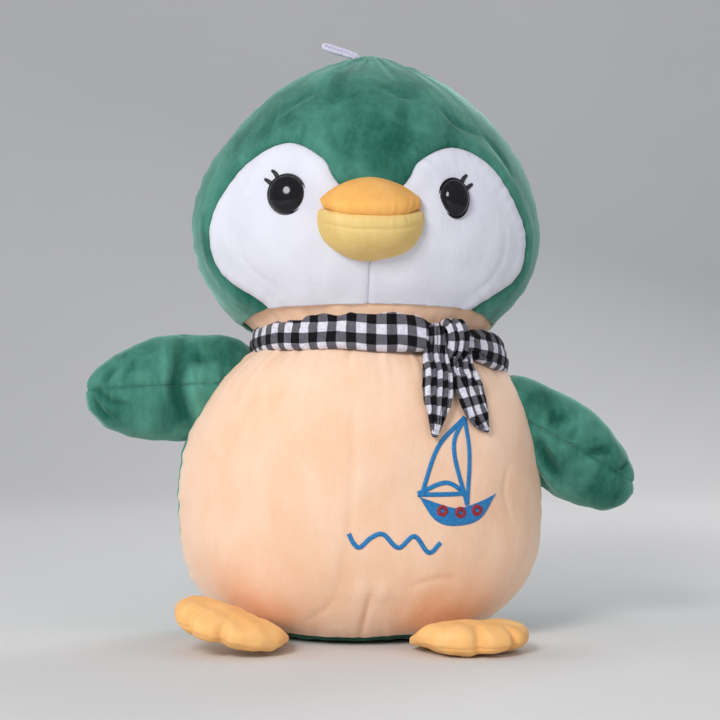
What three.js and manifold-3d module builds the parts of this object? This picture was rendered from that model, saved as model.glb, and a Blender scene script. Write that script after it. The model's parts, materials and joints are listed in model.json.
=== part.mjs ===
// A plush penguin that stands on a flat base, in millimetres.
// +Z is up, the face looks along -Y, and "left" is the -X side, as seen from in front.
// The origin is the middle of the flat base, on the surface that it stands on.
import * as THREE from "three";
import { mergeVertices } from "three/addons/utils/BufferGeometryUtils.js";
import Module from "manifold-3d";

const wasm = await Module();
wasm.setup();

// ---------- Driving dimensions ----------

const FABRIC = 2; // velboa with its pile
const GAP = 0.3; // clearance between neighbouring pieces
const BIG = 600; // side of the boxes that stand for half-spaces
const RINGS = 11; // rings from pole to pole on a stuffed body
const SEGMENTS = 24; // points round a ring

// A stuffed body is a superellipsoid: width, front and back depths, height above and below its widest level,
// and the powers of its outline, from 2 for an ellipse to more for a squarer shoulder. lean moves its top along X.
const TORSO = {
  middle: new THREE.Vector3(0, 0, 85),
  halfWidth: 121,
  front: 100,
  back: 88,
  up: 120,
  down: 91,
  sidePower: 2.5,
  depthPower: 3,
  lowerPower: 2.6,
  lean: 5,
};
const HEAD = {
  middle: new THREE.Vector3(0, 0, 0),
  halfWidth: 116,
  front: 98,
  back: 95,
  up: 113,
  down: 91,
  sidePower: 1.75,
  depthPower: 1.9,
  lowerPower: 2,
  lean: 0,
};
const HEAD_PLACE = new THREE.Vector3(4, 0, 268);
const HEAD_ROLL = 1.3; // degrees, clockwise from in front
const HEAD_YAW = 1.5; // degrees, towards +X

const BASE_RIM = 6; // height of the base panel's turned-up rim
const SIDE_SEAM = new THREE.Vector3(0, -4, 0); // the belly meets the back in a plane through this point
const SIDE_SEAM_TURN = 4; // degrees about Z

// The neck is a short sleeve between the torso's opening and the head's opening.
const NECK_LOW = { x: 8, z: 190, tilt: 4, halfWidth: 71, front: 68, back: 67 };
const NECK_HIGH = { x: 8, z: 206, tilt: 8, halfWidth: 75, front: 72, back: 69 };

const BEAK = { halfWidth: 33.5, halfHeight: 26, reach: 34, y: -91, z: 3.5, mouth: 1.5 };
const EYE = { x: 52.4, z: 18.4, radius: 12.7, height: 7.5, stem: 3, stemLength: 11 };
const EYE_OVAL = { left: 1, right: 0.86 }; // width of each eye against its height
const EYE_REST = 0.7; // height of an eye's rim above the plain cloth
const EYE_EDGE = 1; // thickness of the rim under the dome
const WASHER = { radius: 9, thickness: 2, depth: 2.4 }; // depth is below the fabric
const LASH = { width: 1.9, height: 0.8 };

const WING = { reach: 86, root: 12, widest: 22, halfHeight: 34, halfDepth: 24, droop: 5, seam: 3 };
const WING_LEFT = { pivot: new THREE.Vector3(-96, -2, 164), turn: -2, slot: 50 };
const WING_RIGHT = { pivot: new THREE.Vector3(108, -2, 140), turn: 29, slot: 54 };
const SLOT_PLAY = 3; // room above and below a wing's root
const SLOT_DEPTH = 14; // how far behind its pivot the wider part of a slot begins

const FOOT = { halfWidth: 36, halfLength: 38, height: 20, heelHeight: 10, seam: 6, toeGroove: 0.1 };
const TOE_GAPS = [-112, -68]; // directions of the two notches between the toes, in degrees
const FOOT_HINGE = new THREE.Vector3(0, 31, 3); // where the heel bends, in the foot's own frame
const FOOT_LIFT = 16; // degrees that the toes can come up
const FOOT_LEFT = { place: new THREE.Vector3(-82, -88, 8.4), pitch: 7, roll: 13, turn: -30 };
const FOOT_RIGHT = { place: new THREE.Vector3(68, -88, 0.2), pitch: 0, roll: 0, turn: 30 };

const SCARF = { x: 13, z: 187, halfWidth: 84.5, front: 79, back: 79, thickness: 5, height: 24 };
const SCARF_RISE = 0.16; // how much higher the band is in front, per millimetre
const SCARF_DIP = 0.08; // how much lower it is on the right, per millimetre
const SCARF_LEAN = 0.15; // how much it leans in towards its top, per millimetre
const KNOT = new THREE.Vector3(50, -80, 191);
const KNOT_SIZE = new THREE.Vector3(13, 10, 16);
const TAIL_TOP = 168; // the tails hang from just under the knot, with room to swing out

const CORD = 3.3; // diameter of the hanging loop's cord

// ---------- Solids and cuts ----------

const radians = THREE.MathUtils.degToRad;

function solidOf(geometry) {
  const bare = geometry.clone();
  bare.deleteAttribute("normal");
  bare.deleteAttribute("uv");
  const merged = mergeVertices(bare, 1e-4);
  const vertProperties = merged.attributes.position.array;
  const triVerts = new Uint32Array(merged.index.array);
  return new wasm.Manifold(new wasm.Mesh({ numProp: 3, vertProperties, triVerts }));
}

function geometryOf(solid) {
  const mesh = solid.getMesh();
  const geometry = new THREE.BufferGeometry();
  geometry.setAttribute("position", new THREE.BufferAttribute(mesh.vertProperties, 3));
  geometry.setIndex(new THREE.BufferAttribute(mesh.triVerts, 1));
  geometry.computeVertexNormals();
  return geometry;
}

// The box that fills everything on the direction side of a plane through point.
function halfSpace(point, direction) {
  const turn = new THREE.Quaternion().setFromUnitVectors(new THREE.Vector3(0, 0, 1), direction.clone().normalize());
  const box = new THREE.BoxGeometry(BIG, BIG, BIG).translate(0, 0, BIG / 2);
  return solidOf(box.applyQuaternion(turn).translate(point.x, point.y, point.z));
}

// A closed body through rings of equal length, each counterclockwise as seen from the last one.
// Poles close its ends, or with no poles the last ring joins the first.
function loft(rings, poles) {
  const count = rings[0].length;
  const points = rings.flat();
  const faces = [];
  const steps = poles ? rings.length - 1 : rings.length;
  for (let i = 0; i < steps; i++) {
    const low = i * count;
    const high = ((i + 1) % rings.length) * count;
    for (let j = 0; j < count; j++) {
      const next = (j + 1) % count;
      faces.push(low + j, low + next, high + next, low + j, high + next, high + j);
    }
  }
  if (poles) {
    points.push(...poles);
    const first = rings.length * count;
    const lastRing = (rings.length - 1) * count;
    for (let j = 0; j < count; j++) {
      const next = (j + 1) % count;
      faces.push(first, next, j, first + 1, lastRing + j, lastRing + next);
    }
  }
  const geometry = new THREE.BufferGeometry().setFromPoints(points);
  geometry.setIndex(faces);
  return geometry;
}

// The same body on the other side of the YZ plane.
function mirrored(geometry) {
  const other = geometry.clone().scale(-1, 1, 1);
  const index = other.index.array;
  for (let i = 0; i < index.length; i += 3) [index[i + 1], index[i + 2]] = [index[i + 2], index[i + 1]];
  return other;
}

// A ring of points moved away from its own middle by distance.
function grownFrom(ring, distance) {
  const middle = ring.reduce((sum, p) => sum.add(p), new THREE.Vector3()).divideScalar(ring.length);
  return ring.map((p) => p.clone().add(p.clone().sub(middle).setLength(distance)));
}

function largest(solid) {
  return solid.decompose().sort((a, b) => b.volume() - a.volume())[0];
}

// How far a superellipse of that power still spreads at the fraction t of its height.
function spread(t, power) {
  return Math.pow(Math.max(0, 1 - Math.pow(Math.abs(t), power)), 1 / power);
}

// ---------- Stuffed bodies ----------

// Half-width, front depth, back depth and sideways shift of a stuffed body at height z above its widest level.
function levelOf(body, z, inset) {
  const upper = z >= 0;
  const t = z / ((upper ? body.up : body.down) - inset);
  const side = spread(t, upper ? body.sidePower : body.lowerPower);
  const depth = spread(t, upper ? body.depthPower : body.lowerPower);
  return {
    halfWidth: (body.halfWidth - inset) * side,
    front: (body.front - inset) * depth,
    back: (body.back - inset) * depth,
    shift: upper ? body.lean * t * t : 0,
  };
}

// The whole body, made smaller all over by inset.
function stuffedBody(body, inset) {
  const rings = [];
  for (let i = 1; i < RINGS; i++) {
    const angle = radians(-90 + (180 * i) / RINGS);
    const upper = angle >= 0;
    const height = (upper ? body.up : body.down) - inset;
    const power = upper ? body.sidePower : body.lowerPower;
    const z = Math.sign(angle) * height * Math.pow(Math.abs(Math.sin(angle)), 2 / power);
    rings.push(ringAt(levelOf(body, z, inset), z, body.middle));
  }
  const top = body.middle.clone().add(new THREE.Vector3(body.lean, 0, body.up - inset));
  const bottom = body.middle.clone().add(new THREE.Vector3(0, 0, inset - body.down));
  return solidOf(loft(rings, [bottom, top]));
}

function ringAt(level, z, middle) {
  const ring = [];
  for (let j = 0; j < SEGMENTS; j++) {
    const a = (2 * Math.PI * j) / SEGMENTS;
    const depth = Math.sin(a) < 0 ? level.front : level.back;
    const x = level.shift + level.halfWidth * Math.cos(a);
    ring.push(new THREE.Vector3(x, depth * Math.sin(a), z).add(middle));
  }
  return ring;
}

// The layer between two insets of a body. A negative inset lies outside the body.
function layer(body, outer, inner) {
  return stuffedBody(body, outer).subtract(stuffedBody(body, inner));
}

// The point on the front of a body at x and z, and the direction that it faces.
function frontOf(body, x, z) {
  const yAt = (px, pz) => {
    const level = levelOf(body, pz - body.middle.z, 0);
    return -level.front * Math.sqrt(Math.max(0, 1 - ((px - level.shift) / level.halfWidth) ** 2));
  };
  const step = 1;
  const slopeX = (yAt(x + step, z) - yAt(x - step, z)) / (2 * step);
  const slopeZ = (yAt(x, z + step) - yAt(x, z - step)) / (2 * step);
  const normal = new THREE.Vector3(slopeX, -1, slopeZ).normalize();
  return { point: new THREE.Vector3(x, yAt(x, z), z), normal };
}

// ---------- Flat outlines cut out of the front of a body ----------

// A closed outline in X and Z, given as [x, z] points, as a prism along Y between nearY and farY.
function prism(outline, nearY = -BIG / 2, farY = -10) {
  const shape = new THREE.Shape(outline.map(([x, z]) => new THREE.Vector2(x, z)));
  const block = new THREE.ExtrudeGeometry(shape, { depth: farY - nearY, bevelEnabled: false });
  return solidOf(block.rotateX(Math.PI / 2).translate(0, farY, 0));
}

// A closed outline moved outwards by distance.
function outset(outline, distance) {
  const shape = new THREE.Shape(outline.map(([x, z]) => new THREE.Vector2(x, z)));
  const turn = THREE.ShapeUtils.isClockWise(shape.getPoints()) ? -1 : 1;
  const count = outline.length;
  return outline.map(([x, z], i) => {
    const [ax, az] = outline[(i + count - 1) % count];
    const [bx, bz] = outline[(i + 1) % count];
    const along = new THREE.Vector2(bx - ax, bz - az).normalize();
    return [x + turn * distance * along.y, z - turn * distance * along.x];
  });
}

// A smooth line through points, as [x, z] pairs.
function smooth(points, steps) {
  const curve = new THREE.SplineCurve(points.map(([x, z]) => new THREE.Vector2(x, z)));
  return curve.getPoints(steps).map((p) => [p.x, p.y]);
}

// The outline of a stitched line of that width, tapered to its ends where taper is true.
function stroke(points, width, steps = 8, taper = false) {
  const curve = new THREE.SplineCurve(points.map(([x, z]) => new THREE.Vector2(x, z)));
  const left = [];
  const right = [];
  for (let i = 0; i <= steps; i++) {
    const at = curve.getPoint(i / steps);
    const along = curve.getTangent(i / steps);
    const half = (width / 2) * (taper ? 0.25 + 0.75 * Math.sin((Math.PI * (i + 1)) / (steps + 2)) : 1);
    left.push([at.x - along.y * half, at.y + along.x * half]);
    right.unshift([at.x + along.y * half, at.y - along.x * half]);
  }
  return [...left, ...right];
}

// ---------- Scene graph ----------

const penguin = new THREE.Group();

function fabric(color, roughness = 0.95) {
  return new THREE.MeshStandardMaterial({ color, roughness, metalness: 0 });
}

const GREEN = "#3d8a70";
const DARK_GREEN = "#23594a";
const PEACH = "#f7dcc0";
const WHITE = "#e6e6ee";
const ORANGE = "#f0bf78";
const BEAK_ORANGE = "#eab262";
const BEAK_YELLOW = "#e2c883";
const FILL = "#f4f4f2";
const THREAD_BLUE = "#1577bd";
const THREAD_RED = "#9c1230";
const GINGHAM = "#77777c";
const BLACK = "#0b0b0d";

function add(group, name, shape, material) {
  const geometry = shape.isBufferGeometry ? shape : geometryOf(shape);
  const mesh = new THREE.Mesh(geometry, material);
  mesh.name = name;
  group.add(mesh);
}

// ---------- Neck planes ----------

function neckNormal(end) {
  return new THREE.Vector3(0, Math.sin(radians(end.tilt)), Math.cos(radians(end.tilt)));
}

function neckPoint(end, lift) {
  return new THREE.Vector3(end.x, 0, end.z).addScaledVector(neckNormal(end), lift);
}

const belowNeck = halfSpace(neckPoint(NECK_LOW, 0), neckNormal(NECK_LOW).negate());

// ---------- Wings ----------

// One wing along +X from its pivot, made smaller by inset: widest a little way out, with a rounded tip that droops.
function wingBody(inset) {
  const rings = [];
  const steps = 10;
  const sides = 16;
  const rootPower = 2.6;
  const tipPower = 2.2;
  for (let i = 1; i < steps; i++) {
    const angle = radians(-90 + (180 * i) / steps);
    const outer = angle >= 0;
    const length = outer ? WING.reach - WING.widest : WING.root + WING.widest;
    const power = outer ? tipPower : rootPower;
    const run = Math.pow(Math.abs(Math.sin(angle)), 2 / power);
    const full = Math.pow(Math.cos(angle), 2 / power);
    const drop = outer ? WING.droop * run * run : 0;
    const ring = [];
    for (let j = 0; j < sides; j++) {
      const a = (2 * Math.PI * j) / sides;
      const y = (WING.halfDepth - inset) * full * Math.cos(a);
      const z = (WING.halfHeight - inset) * full * Math.sin(a) - drop;
      ring.push(new THREE.Vector3(WING.widest + Math.sign(angle) * (length - inset) * run, y, z));
    }
    rings.push(ring);
  }
  const root = new THREE.Vector3(inset - WING.root, 0, 0);
  const tip = new THREE.Vector3(WING.reach - inset, 0, -WING.droop);
  return loft(rings, [root, tip]);
}

function addWing(side, place, flip) {
  const group = new THREE.Group();
  group.position.copy(place.pivot);
  group.rotation.y = radians(place.turn);
  const turned = (inset) => solidOf(flip ? mirrored(wingBody(inset)) : wingBody(inset));
  const up = new THREE.Vector3(0, 0, 1);
  const skin = turned(0).subtract(turned(FABRIC));
  const above = halfSpace(new THREE.Vector3(0, 0, WING.seam + GAP / 2), up);
  const below = halfSpace(new THREE.Vector3(0, 0, WING.seam - GAP / 2), up.clone().negate());
  add(group, `wing_${side}_upper_panel`, skin.intersect(above), fabric(GREEN));
  add(group, `wing_${side}_lower_panel`, skin.intersect(below), fabric(GREEN));
  add(group, `wing_${side}_stuffing`, turned(FABRIC + GAP), fabric(FILL));
  penguin.add(group);
}

// The room that a wing's root turns in: a short drum round its pivot, and a wider one outside the body.
function wingSlot(place) {
  const drum = (radius) => {
    const geometry = new THREE.CylinderGeometry(radius, radius, 2 * (WING.halfDepth + 1), 24);
    return solidOf(geometry.translate(place.pivot.x, place.pivot.y, place.pivot.z));
  };
  const outward = new THREE.Vector3(Math.sign(place.pivot.x), 0, 0);
  const edge = place.pivot.clone().addScaledVector(outward, -SLOT_DEPTH);
  return drum(WING.halfHeight + SLOT_PLAY).add(drum(place.slot).intersect(halfSpace(edge, outward)));
}

// ---------- Torso ----------

function addTorso() {
  const up = new THREE.Vector3(0, 0, 1);
  const down = up.clone().negate();
  const level = (z) => new THREE.Vector3(0, 0, z);
  const slots = wingSlot(WING_LEFT).add(wingSlot(WING_RIGHT));
  const outer = stuffedBody(TORSO, 0).intersect(halfSpace(level(0), up));
  const inner = stuffedBody(TORSO, FABRIC).intersect(halfSpace(level(FABRIC), up));
  const skin = outer.subtract(inner).intersect(belowNeck).subtract(slots);

  const base = skin.intersect(halfSpace(level(BASE_RIM - GAP / 2), down));
  add(penguin, "base_panel", base, fabric(DARK_GREEN));

  const wall = skin.intersect(halfSpace(level(BASE_RIM + GAP / 2), up));
  const turn = radians(SIDE_SEAM_TURN);
  const backwards = new THREE.Vector3(-Math.sin(turn), Math.cos(turn), 0);
  const seamAt = (offset) => SIDE_SEAM.clone().addScaledVector(backwards, offset);
  const belly = wall.intersect(halfSpace(seamAt(-GAP / 2), backwards.clone().negate()));
  add(penguin, "belly_panel", belly, fabric(PEACH));

  const back = wall.intersect(halfSpace(seamAt(GAP / 2), backwards));
  for (const [side, sign] of [["left", -1], ["right", 1]]) {
    const half = halfSpace(new THREE.Vector3((sign * GAP) / 2, 0, 0), new THREE.Vector3(sign, 0, 0));
    add(penguin, `back_panel_${side}`, back.intersect(half), fabric(GREEN));
  }

  const fill = stuffedBody(TORSO, FABRIC + GAP).intersect(halfSpace(level(FABRIC + GAP), up));
  add(penguin, "torso_stuffing", fill.intersect(belowNeck).subtract(slots), fabric(FILL));
}

// ---------- Embroidery on the belly ----------

const THREAD = 2.9; // width of a satin-stitched line
const THREAD_HEIGHT = 0.9;
const BOAT = { mastX: 66, mastTop: 147, deck: 98, keel: 79, bowX: 86, sternX: 37 };
const PORTHOLE = { radius: 3.7, hole: 1.9 };
const PORTHOLES = { left: [51.5, 89], middle: [63, 87.5], right: [73.5, 88.5] };

// Thread stands up from the cloth by height, starting at lift above it.
function stitched(outlines, lift, height) {
  const thread = layer(TORSO, -lift - height, -lift);
  return outlines.map((outline) => prism(outline)).reduce((all, one) => all.add(one)).intersect(thread);
}

function boatOutlines() {
  const { mastX, mastTop, deck, keel, bowX, sternX } = BOAT;
  const head = [mastX, mastTop];
  const foot = [mastX + 1.5, deck - 8];
  const hullTop = smooth([[sternX, deck], [mastX - 6, deck - 7.5], [bowX, deck]], 8);
  const hullBottom = smooth([[bowX, deck], [mastX + 8, keel + 2], [mastX - 8, keel + 1], [sternX, deck]], 10);
  return [
    [...hullTop, ...hullBottom.slice(1, -1)],
    stroke([head, [mastX + 3, deck + 26], foot], THREAD),
    stroke([head, [mastX - 17, deck + 31], [mastX - 27, deck + 3]], THREAD, 10),
    stroke([head, [mastX - 7, deck + 30], foot], THREAD, 10),
    stroke([[sternX - 1, deck + 2], [mastX - 12, deck + 8.5], [mastX + 1, deck + 1]], THREAD, 8),
    stroke([[sternX - 1, deck + 1.5], [mastX + 2, deck + 1.5]], THREAD, 2),
  ];
}

function addEmbroidery() {
  const height = THREAD_HEIGHT;
  add(penguin, "boat_embroidery", stitched(boatOutlines(), GAP, height), fabric(THREAD_BLUE, 0.6));

  const circle = (x, z, radius, count = 12) => {
    const angles = Array.from({ length: count }, (_, i) => (2 * Math.PI * i) / count);
    return angles.map((a) => [x + radius * Math.cos(a), z + radius * Math.sin(a)]);
  };
  for (const [side, [x, z]] of Object.entries(PORTHOLES)) {
    const disc = stitched([circle(x, z, PORTHOLE.radius)], 2 * GAP + height, height);
    const hole = prism(circle(x, z, PORTHOLE.hole));
    add(penguin, `porthole_${side}`, disc.subtract(hole), fabric(THREAD_RED, 0.6));
  }

  const crests = [[-7, 75.5], [-4, 69.5], [0, 67], [7, 73], [14.5, 75], [24, 66.5], [34, 73.5], [43, 63], [50.5, 69]];
  add(penguin, "wave_embroidery", stitched([stroke(crests, THREAD, 28)], GAP, height), fabric(THREAD_BLUE, 0.6));
}

// ---------- Neck ----------

// The neck between its two ends, each trimmed by trim, and made smaller all over by inset.
function neckBody(inset, trim) {
  const ends = [[NECK_LOW, trim], [NECK_HIGH, -trim]];
  const rings = ends.map(([end, lift]) => {
    const ring = [];
    for (let j = 0; j < SEGMENTS; j++) {
      const a = (2 * Math.PI * j) / SEGMENTS;
      const depth = (Math.sin(a) < 0 ? end.front : end.back) - inset;
      const y = depth * Math.sin(a);
      const z = end.z + lift - y * Math.tan(radians(end.tilt));
      ring.push(new THREE.Vector3(end.x + (end.halfWidth - inset) * Math.cos(a), y, z));
    }
    return ring;
  });
  const poles = ends.map(([end, lift]) => new THREE.Vector3(end.x, 0, end.z + lift));
  return solidOf(loft(rings, poles));
}

function addNeck() {
  const collar = neckBody(0, GAP).subtract(neckBody(FABRIC, -FABRIC));
  add(penguin, "neck_collar", collar, fabric(PEACH));
  add(penguin, "neck_stuffing", neckBody(FABRIC + 3 * GAP, 2 * GAP), fabric(FILL));
}

// ---------- Scarf ----------

// The point of the scarf's middle line at angle a, and the directions out of the neck there.
function scarfLine(a) {
  const depth = Math.sin(a) < 0 ? SCARF.front : SCARF.back;
  const x = SCARF.x + SCARF.halfWidth * Math.cos(a);
  const y = depth * Math.sin(a);
  const z = SCARF.z - SCARF_RISE * y - SCARF_DIP * (x - SCARF.x);
  const out = new THREE.Vector3(Math.cos(a) / SCARF.halfWidth, Math.sin(a) / depth, 0).normalize();
  return { point: new THREE.Vector3(x, y, z), out };
}

function addScarf() {
  const half = SCARF.thickness / 2;
  const edge = SCARF.height / 2;
  // The section as [outwards, upwards], round its edge.
  const section = [[-half, -edge + 2], [0, -edge], [half, -edge + 2], [half, edge - 2], [0, edge], [-half, edge - 2]];
  const rings = [];
  for (let j = 0; j < SEGMENTS; j++) {
    const { point, out } = scarfLine((-2 * Math.PI * j) / SEGMENTS);
    const rise = new THREE.Vector3(0, 0, 1);
    rings.push(section.map(([r, h]) => point.clone().addScaledVector(out, r - SCARF_LEAN * h).addScaledVector(rise, h)));
  }
  const shoulders = stuffedBody(TORSO, -GAP);
  add(penguin, "scarf_band", solidOf(loft(rings)).subtract(shoulders), fabric(GINGHAM, 0.9));

  const size = KNOT_SIZE;
  const ball = new THREE.SphereGeometry(1, 12, 9).scale(size.x, size.y, size.z).translate(KNOT.x, KNOT.y, KNOT.z);
  const room = solidOf(loft(rings.map((ring) => grownFrom(ring, GAP)))).add(shoulders);
  add(penguin, "scarf_knot", largest(solidOf(ball).subtract(room)), fabric(GINGHAM, 0.9));

  const tails = {
    left: [[43, TAIL_TOP], [57, TAIL_TOP], [60, 158], [56, 142], [48.5, 135], [41, 143], [40, 158]],
    right: [[59, TAIL_TOP], [72, TAIL_TOP], [78, 158], [85, 145], [82, 139], [74, 139], [65, 152]],
  };
  const cloth = layer(TORSO, -6.5, -1.5);
  for (const [side, outline] of Object.entries(tails)) {
    add(penguin, `scarf_tail_${side}`, prism(outline).intersect(cloth), fabric(GINGHAM, 0.9));
  }
}

// ---------- Head ----------

const head = new THREE.Group();
head.position.copy(HEAD_PLACE);
head.rotation.set(0, radians(HEAD_ROLL), radians(HEAD_YAW));
head.updateMatrix();
penguin.add(head);
const toHead = head.matrix.clone().invert();

// The outline of the right face patch in the head's own X and Z; its straight side is the seam down the middle.
function patchOutline() {
  const low = -70;
  const curve = [[GAP / 2, 2], [22.5, 28], [31, 42], [53, 52], [78, 41], [97, 15], [103.5, -8], [95, -33], [66, -53]];
  return [[GAP / 2, low], ...smooth(curve, 26), [55, low]];
}

// The places of the two eyes on the head: each has its own frame, with +Z out of the face.
function eyeFrame(sign) {
  const { point, normal } = frontOf(HEAD, sign * EYE.x, EYE.z);
  const frame = new THREE.Group();
  frame.position.copy(point);
  frame.quaternion.setFromUnitVectors(new THREE.Vector3(0, 0, 1), normal);
  frame.updateMatrix();
  return frame;
}

function turnedProfile(profile, count) {
  const points = profile.map(([r, h]) => new THREE.Vector2(r, h));
  return new THREE.LatheGeometry(points, count).rotateX(Math.PI / 2);
}

// A domed eye with a stem behind it, with its rim resting on the fabric.
function eyeBody() {
  const profile = [[0, -EYE.stemLength], [EYE.stem, -EYE.stemLength], [EYE.stem, EYE_REST], [EYE.radius, EYE_REST]];
  const foot = EYE_REST + EYE_EDGE;
  const dome = 6;
  for (let i = 1; i < dome; i++) {
    const a = (Math.PI / 2) * (i / dome);
    profile.push([EYE.radius * Math.cos(a), foot + EYE.height * Math.sin(a)]);
  }
  profile.push([0, foot + EYE.height]);
  return turnedProfile(profile, 16);
}

function eyeHole(frame, radius, depth) {
  const hole = new THREE.CylinderGeometry(radius, radius, depth, 12).rotateX(Math.PI / 2).translate(0, 0, -depth / 2);
  return solidOf(hole.applyMatrix4(frame.matrix));
}

function addHead() {
  const floor = neckPoint(NECK_HIGH, 0).applyMatrix4(toHead);
  const upright = neckNormal(NECK_HIGH).transformDirection(toHead);
  const aboveNeck = halfSpace(floor, upright);
  const frames = { left: eyeFrame(-1), right: eyeFrame(1) };
  const bothHoles = (depth) => {
    return eyeHole(frames.left, EYE.stem + GAP, depth).add(eyeHole(frames.right, EYE.stem + GAP, depth));
  };
  const stems = bothHoles(20);
  const stemsOut = stems.add(bothHoles(-8));
  const skin = layer(HEAD, 0, FABRIC).intersect(aboveNeck).subtract(stemsOut);

  const backwards = new THREE.Vector3(0, 1, 0);
  const seam = (offset) => new THREE.Vector3(0, offset, 0);
  const patches = { left: patchOutline().map(([x, z]) => [-x, z]), right: patchOutline() };
  let front = skin.intersect(halfSpace(seam(-GAP / 2), backwards.clone().negate()));
  for (const [side, outline] of Object.entries(patches)) {
    add(head, `face_patch_${side}`, skin.intersect(prism(outline)), fabric(WHITE));
    front = front.subtract(prism(outset(outline, GAP)));
  }
  add(head, "head_front_panel", front, fabric(GREEN));

  const back = skin.intersect(halfSpace(seam(GAP / 2), backwards));
  for (const [side, sign] of [["left", -1], ["right", 1]]) {
    const half = halfSpace(new THREE.Vector3((sign * GAP) / 2, 0, 0), new THREE.Vector3(sign, 0, 0));
    add(head, `head_back_${side}`, back.intersect(half), fabric(GREEN));
  }

  const washerDepth = FABRIC + WASHER.thickness + 4;
  let fill = stuffedBody(HEAD, FABRIC + GAP).intersect(aboveNeck).subtract(stems);
  for (const [side, frame] of Object.entries(frames)) {
    fill = fill.subtract(eyeHole(frame, WASHER.radius + 1, washerDepth));
    const lid = new THREE.Group();
    lid.position.copy(frame.position);
    lid.quaternion.copy(frame.quaternion);
    add(lid, `eye_${side}`, eyeBody().scale(EYE_OVAL[side], 1, 1), fabric(BLACK, 0.12));
    add(lid, `eye_washer_${side}`, washer(), fabric(FILL, 0.4));
    head.add(lid);
  }
  add(head, "head_stuffing", fill, fabric(FILL));
  addLashes();
}

// The toothed disc that is pushed onto an eye's stem inside the head.
function washer() {
  const top = -FABRIC - WASHER.depth;
  const bottom = top - WASHER.thickness;
  const bore = EYE.stem + GAP;
  const ring = [[bore, bottom], [WASHER.radius, bottom], [WASHER.radius, top], [bore, top], [bore, bottom]];
  return turnedProfile(ring, 14);
}

function addLashes() {
  const thread = layer(HEAD, -GAP - LASH.height, -GAP);
  // Each lash runs from the eye's rim outwards and up; the numbers are distances from the eye's middle.
  const lashes = {
    upper: [[6.9, 12.0], [9.4, 13.2], [10.9, 16.0]],
    lower: [[11.0, 7.2], [13.4, 8.1], [15.6, 10.6]],
  };
  for (const [name, points] of Object.entries(lashes)) {
    for (const [side, sign] of [["left", -1], ["right", 1]]) {
      const line = points.map(([x, z]) => [sign * (EYE.x + x * EYE_OVAL[side]), EYE.z + z]);
      const outline = stroke(line, LASH.width, 4, true);
      add(head, `eyelash_${side}_${name}`, prism(outline).intersect(thread), fabric(BLACK, 0.6));
    }
  }
}

// ---------- Beak ----------

function beakBody(inset) {
  const ball = new THREE.SphereGeometry(1, 20, 12);
  ball.scale(BEAK.halfWidth - inset, BEAK.reach - inset, BEAK.halfHeight - inset);
  return solidOf(ball.translate(0, BEAK.y, BEAK.z));
}

function addBeak() {
  const face = stuffedBody(HEAD, -GAP);
  const skin = beakBody(0).subtract(beakBody(FABRIC)).subtract(face);
  const up = new THREE.Vector3(0, 0, 1);
  const mouth = (offset) => new THREE.Vector3(0, 0, BEAK.z + BEAK.mouth + offset);
  add(head, "beak_upper_panel", skin.intersect(halfSpace(mouth(GAP / 2), up)), fabric(BEAK_ORANGE));
  add(head, "beak_lower_panel", skin.intersect(halfSpace(mouth(-GAP / 2), up.clone().negate())), fabric(BEAK_YELLOW));
  add(head, "beak_stuffing", beakBody(FABRIC + GAP).subtract(face), fabric(FILL));
}

// ---------- Feet ----------

// One foot with its sole at Z 0 and its toes towards -Y, made smaller by inset: three toes and a low heel.
function footBody(inset) {
  const count = 24;
  const outline = [];
  for (let j = 0; j < count; j++) {
    const a = (2 * Math.PI * j) / count;
    const grooves = TOE_GAPS.map((g) => Math.exp(-(((THREE.MathUtils.radToDeg(a) - 360 - g) / 9) ** 2)));
    const reach = 1 - FOOT.toeGroove * (grooves[0] + grooves[1]);
    const x = (FOOT.halfWidth - inset) * reach * Math.cos(a);
    outline.push([x, (FOOT.halfLength - inset) * reach * Math.sin(a)]);
  }
  const levels = [[0, 0.9], [0.15, 0.99], [0.4, 0.99], [0.72, 0.82], [0.93, 0.5]];
  const rings = levels.map(([rise, size]) =>
    outline.map(([x, y]) => new THREE.Vector3(x * size, y * size, footHeight(rise, y * size, inset))),
  );
  const top = new THREE.Vector3(0, 0, footHeight(1, 0, inset));
  return loft(rings, [new THREE.Vector3(0, 0, inset), top]);
}

function footHeight(rise, y, inset) {
  const towardsHeel = THREE.MathUtils.smoothstep(y, -0.1 * FOOT.halfLength, 0.9 * FOOT.halfLength);
  const height = THREE.MathUtils.lerp(FOOT.height, FOOT.heelHeight, towardsHeel);
  return inset + rise * (height - 2 * inset);
}

// The torso as a foot meets it, in the foot's own frame: at rest, and with the toes lifted.
function torsoOverFoot(group) {
  const torso = stuffedBody(TORSO, -GAP);
  const toHinge = new THREE.Matrix4().makeTranslation(FOOT_HINGE);
  const toFoot = group.matrix.clone().invert();
  const torsoAt = (lift) => {
    const bend = new THREE.Matrix4().makeRotationX(radians(lift));
    const matrix = toHinge.clone().multiply(bend).multiply(toHinge.clone().invert()).multiply(toFoot);
    return torso.transform(matrix.elements);
  };
  return torsoAt(0).add(torsoAt(FOOT_LIFT / 2)).add(torsoAt(FOOT_LIFT));
}

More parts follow.
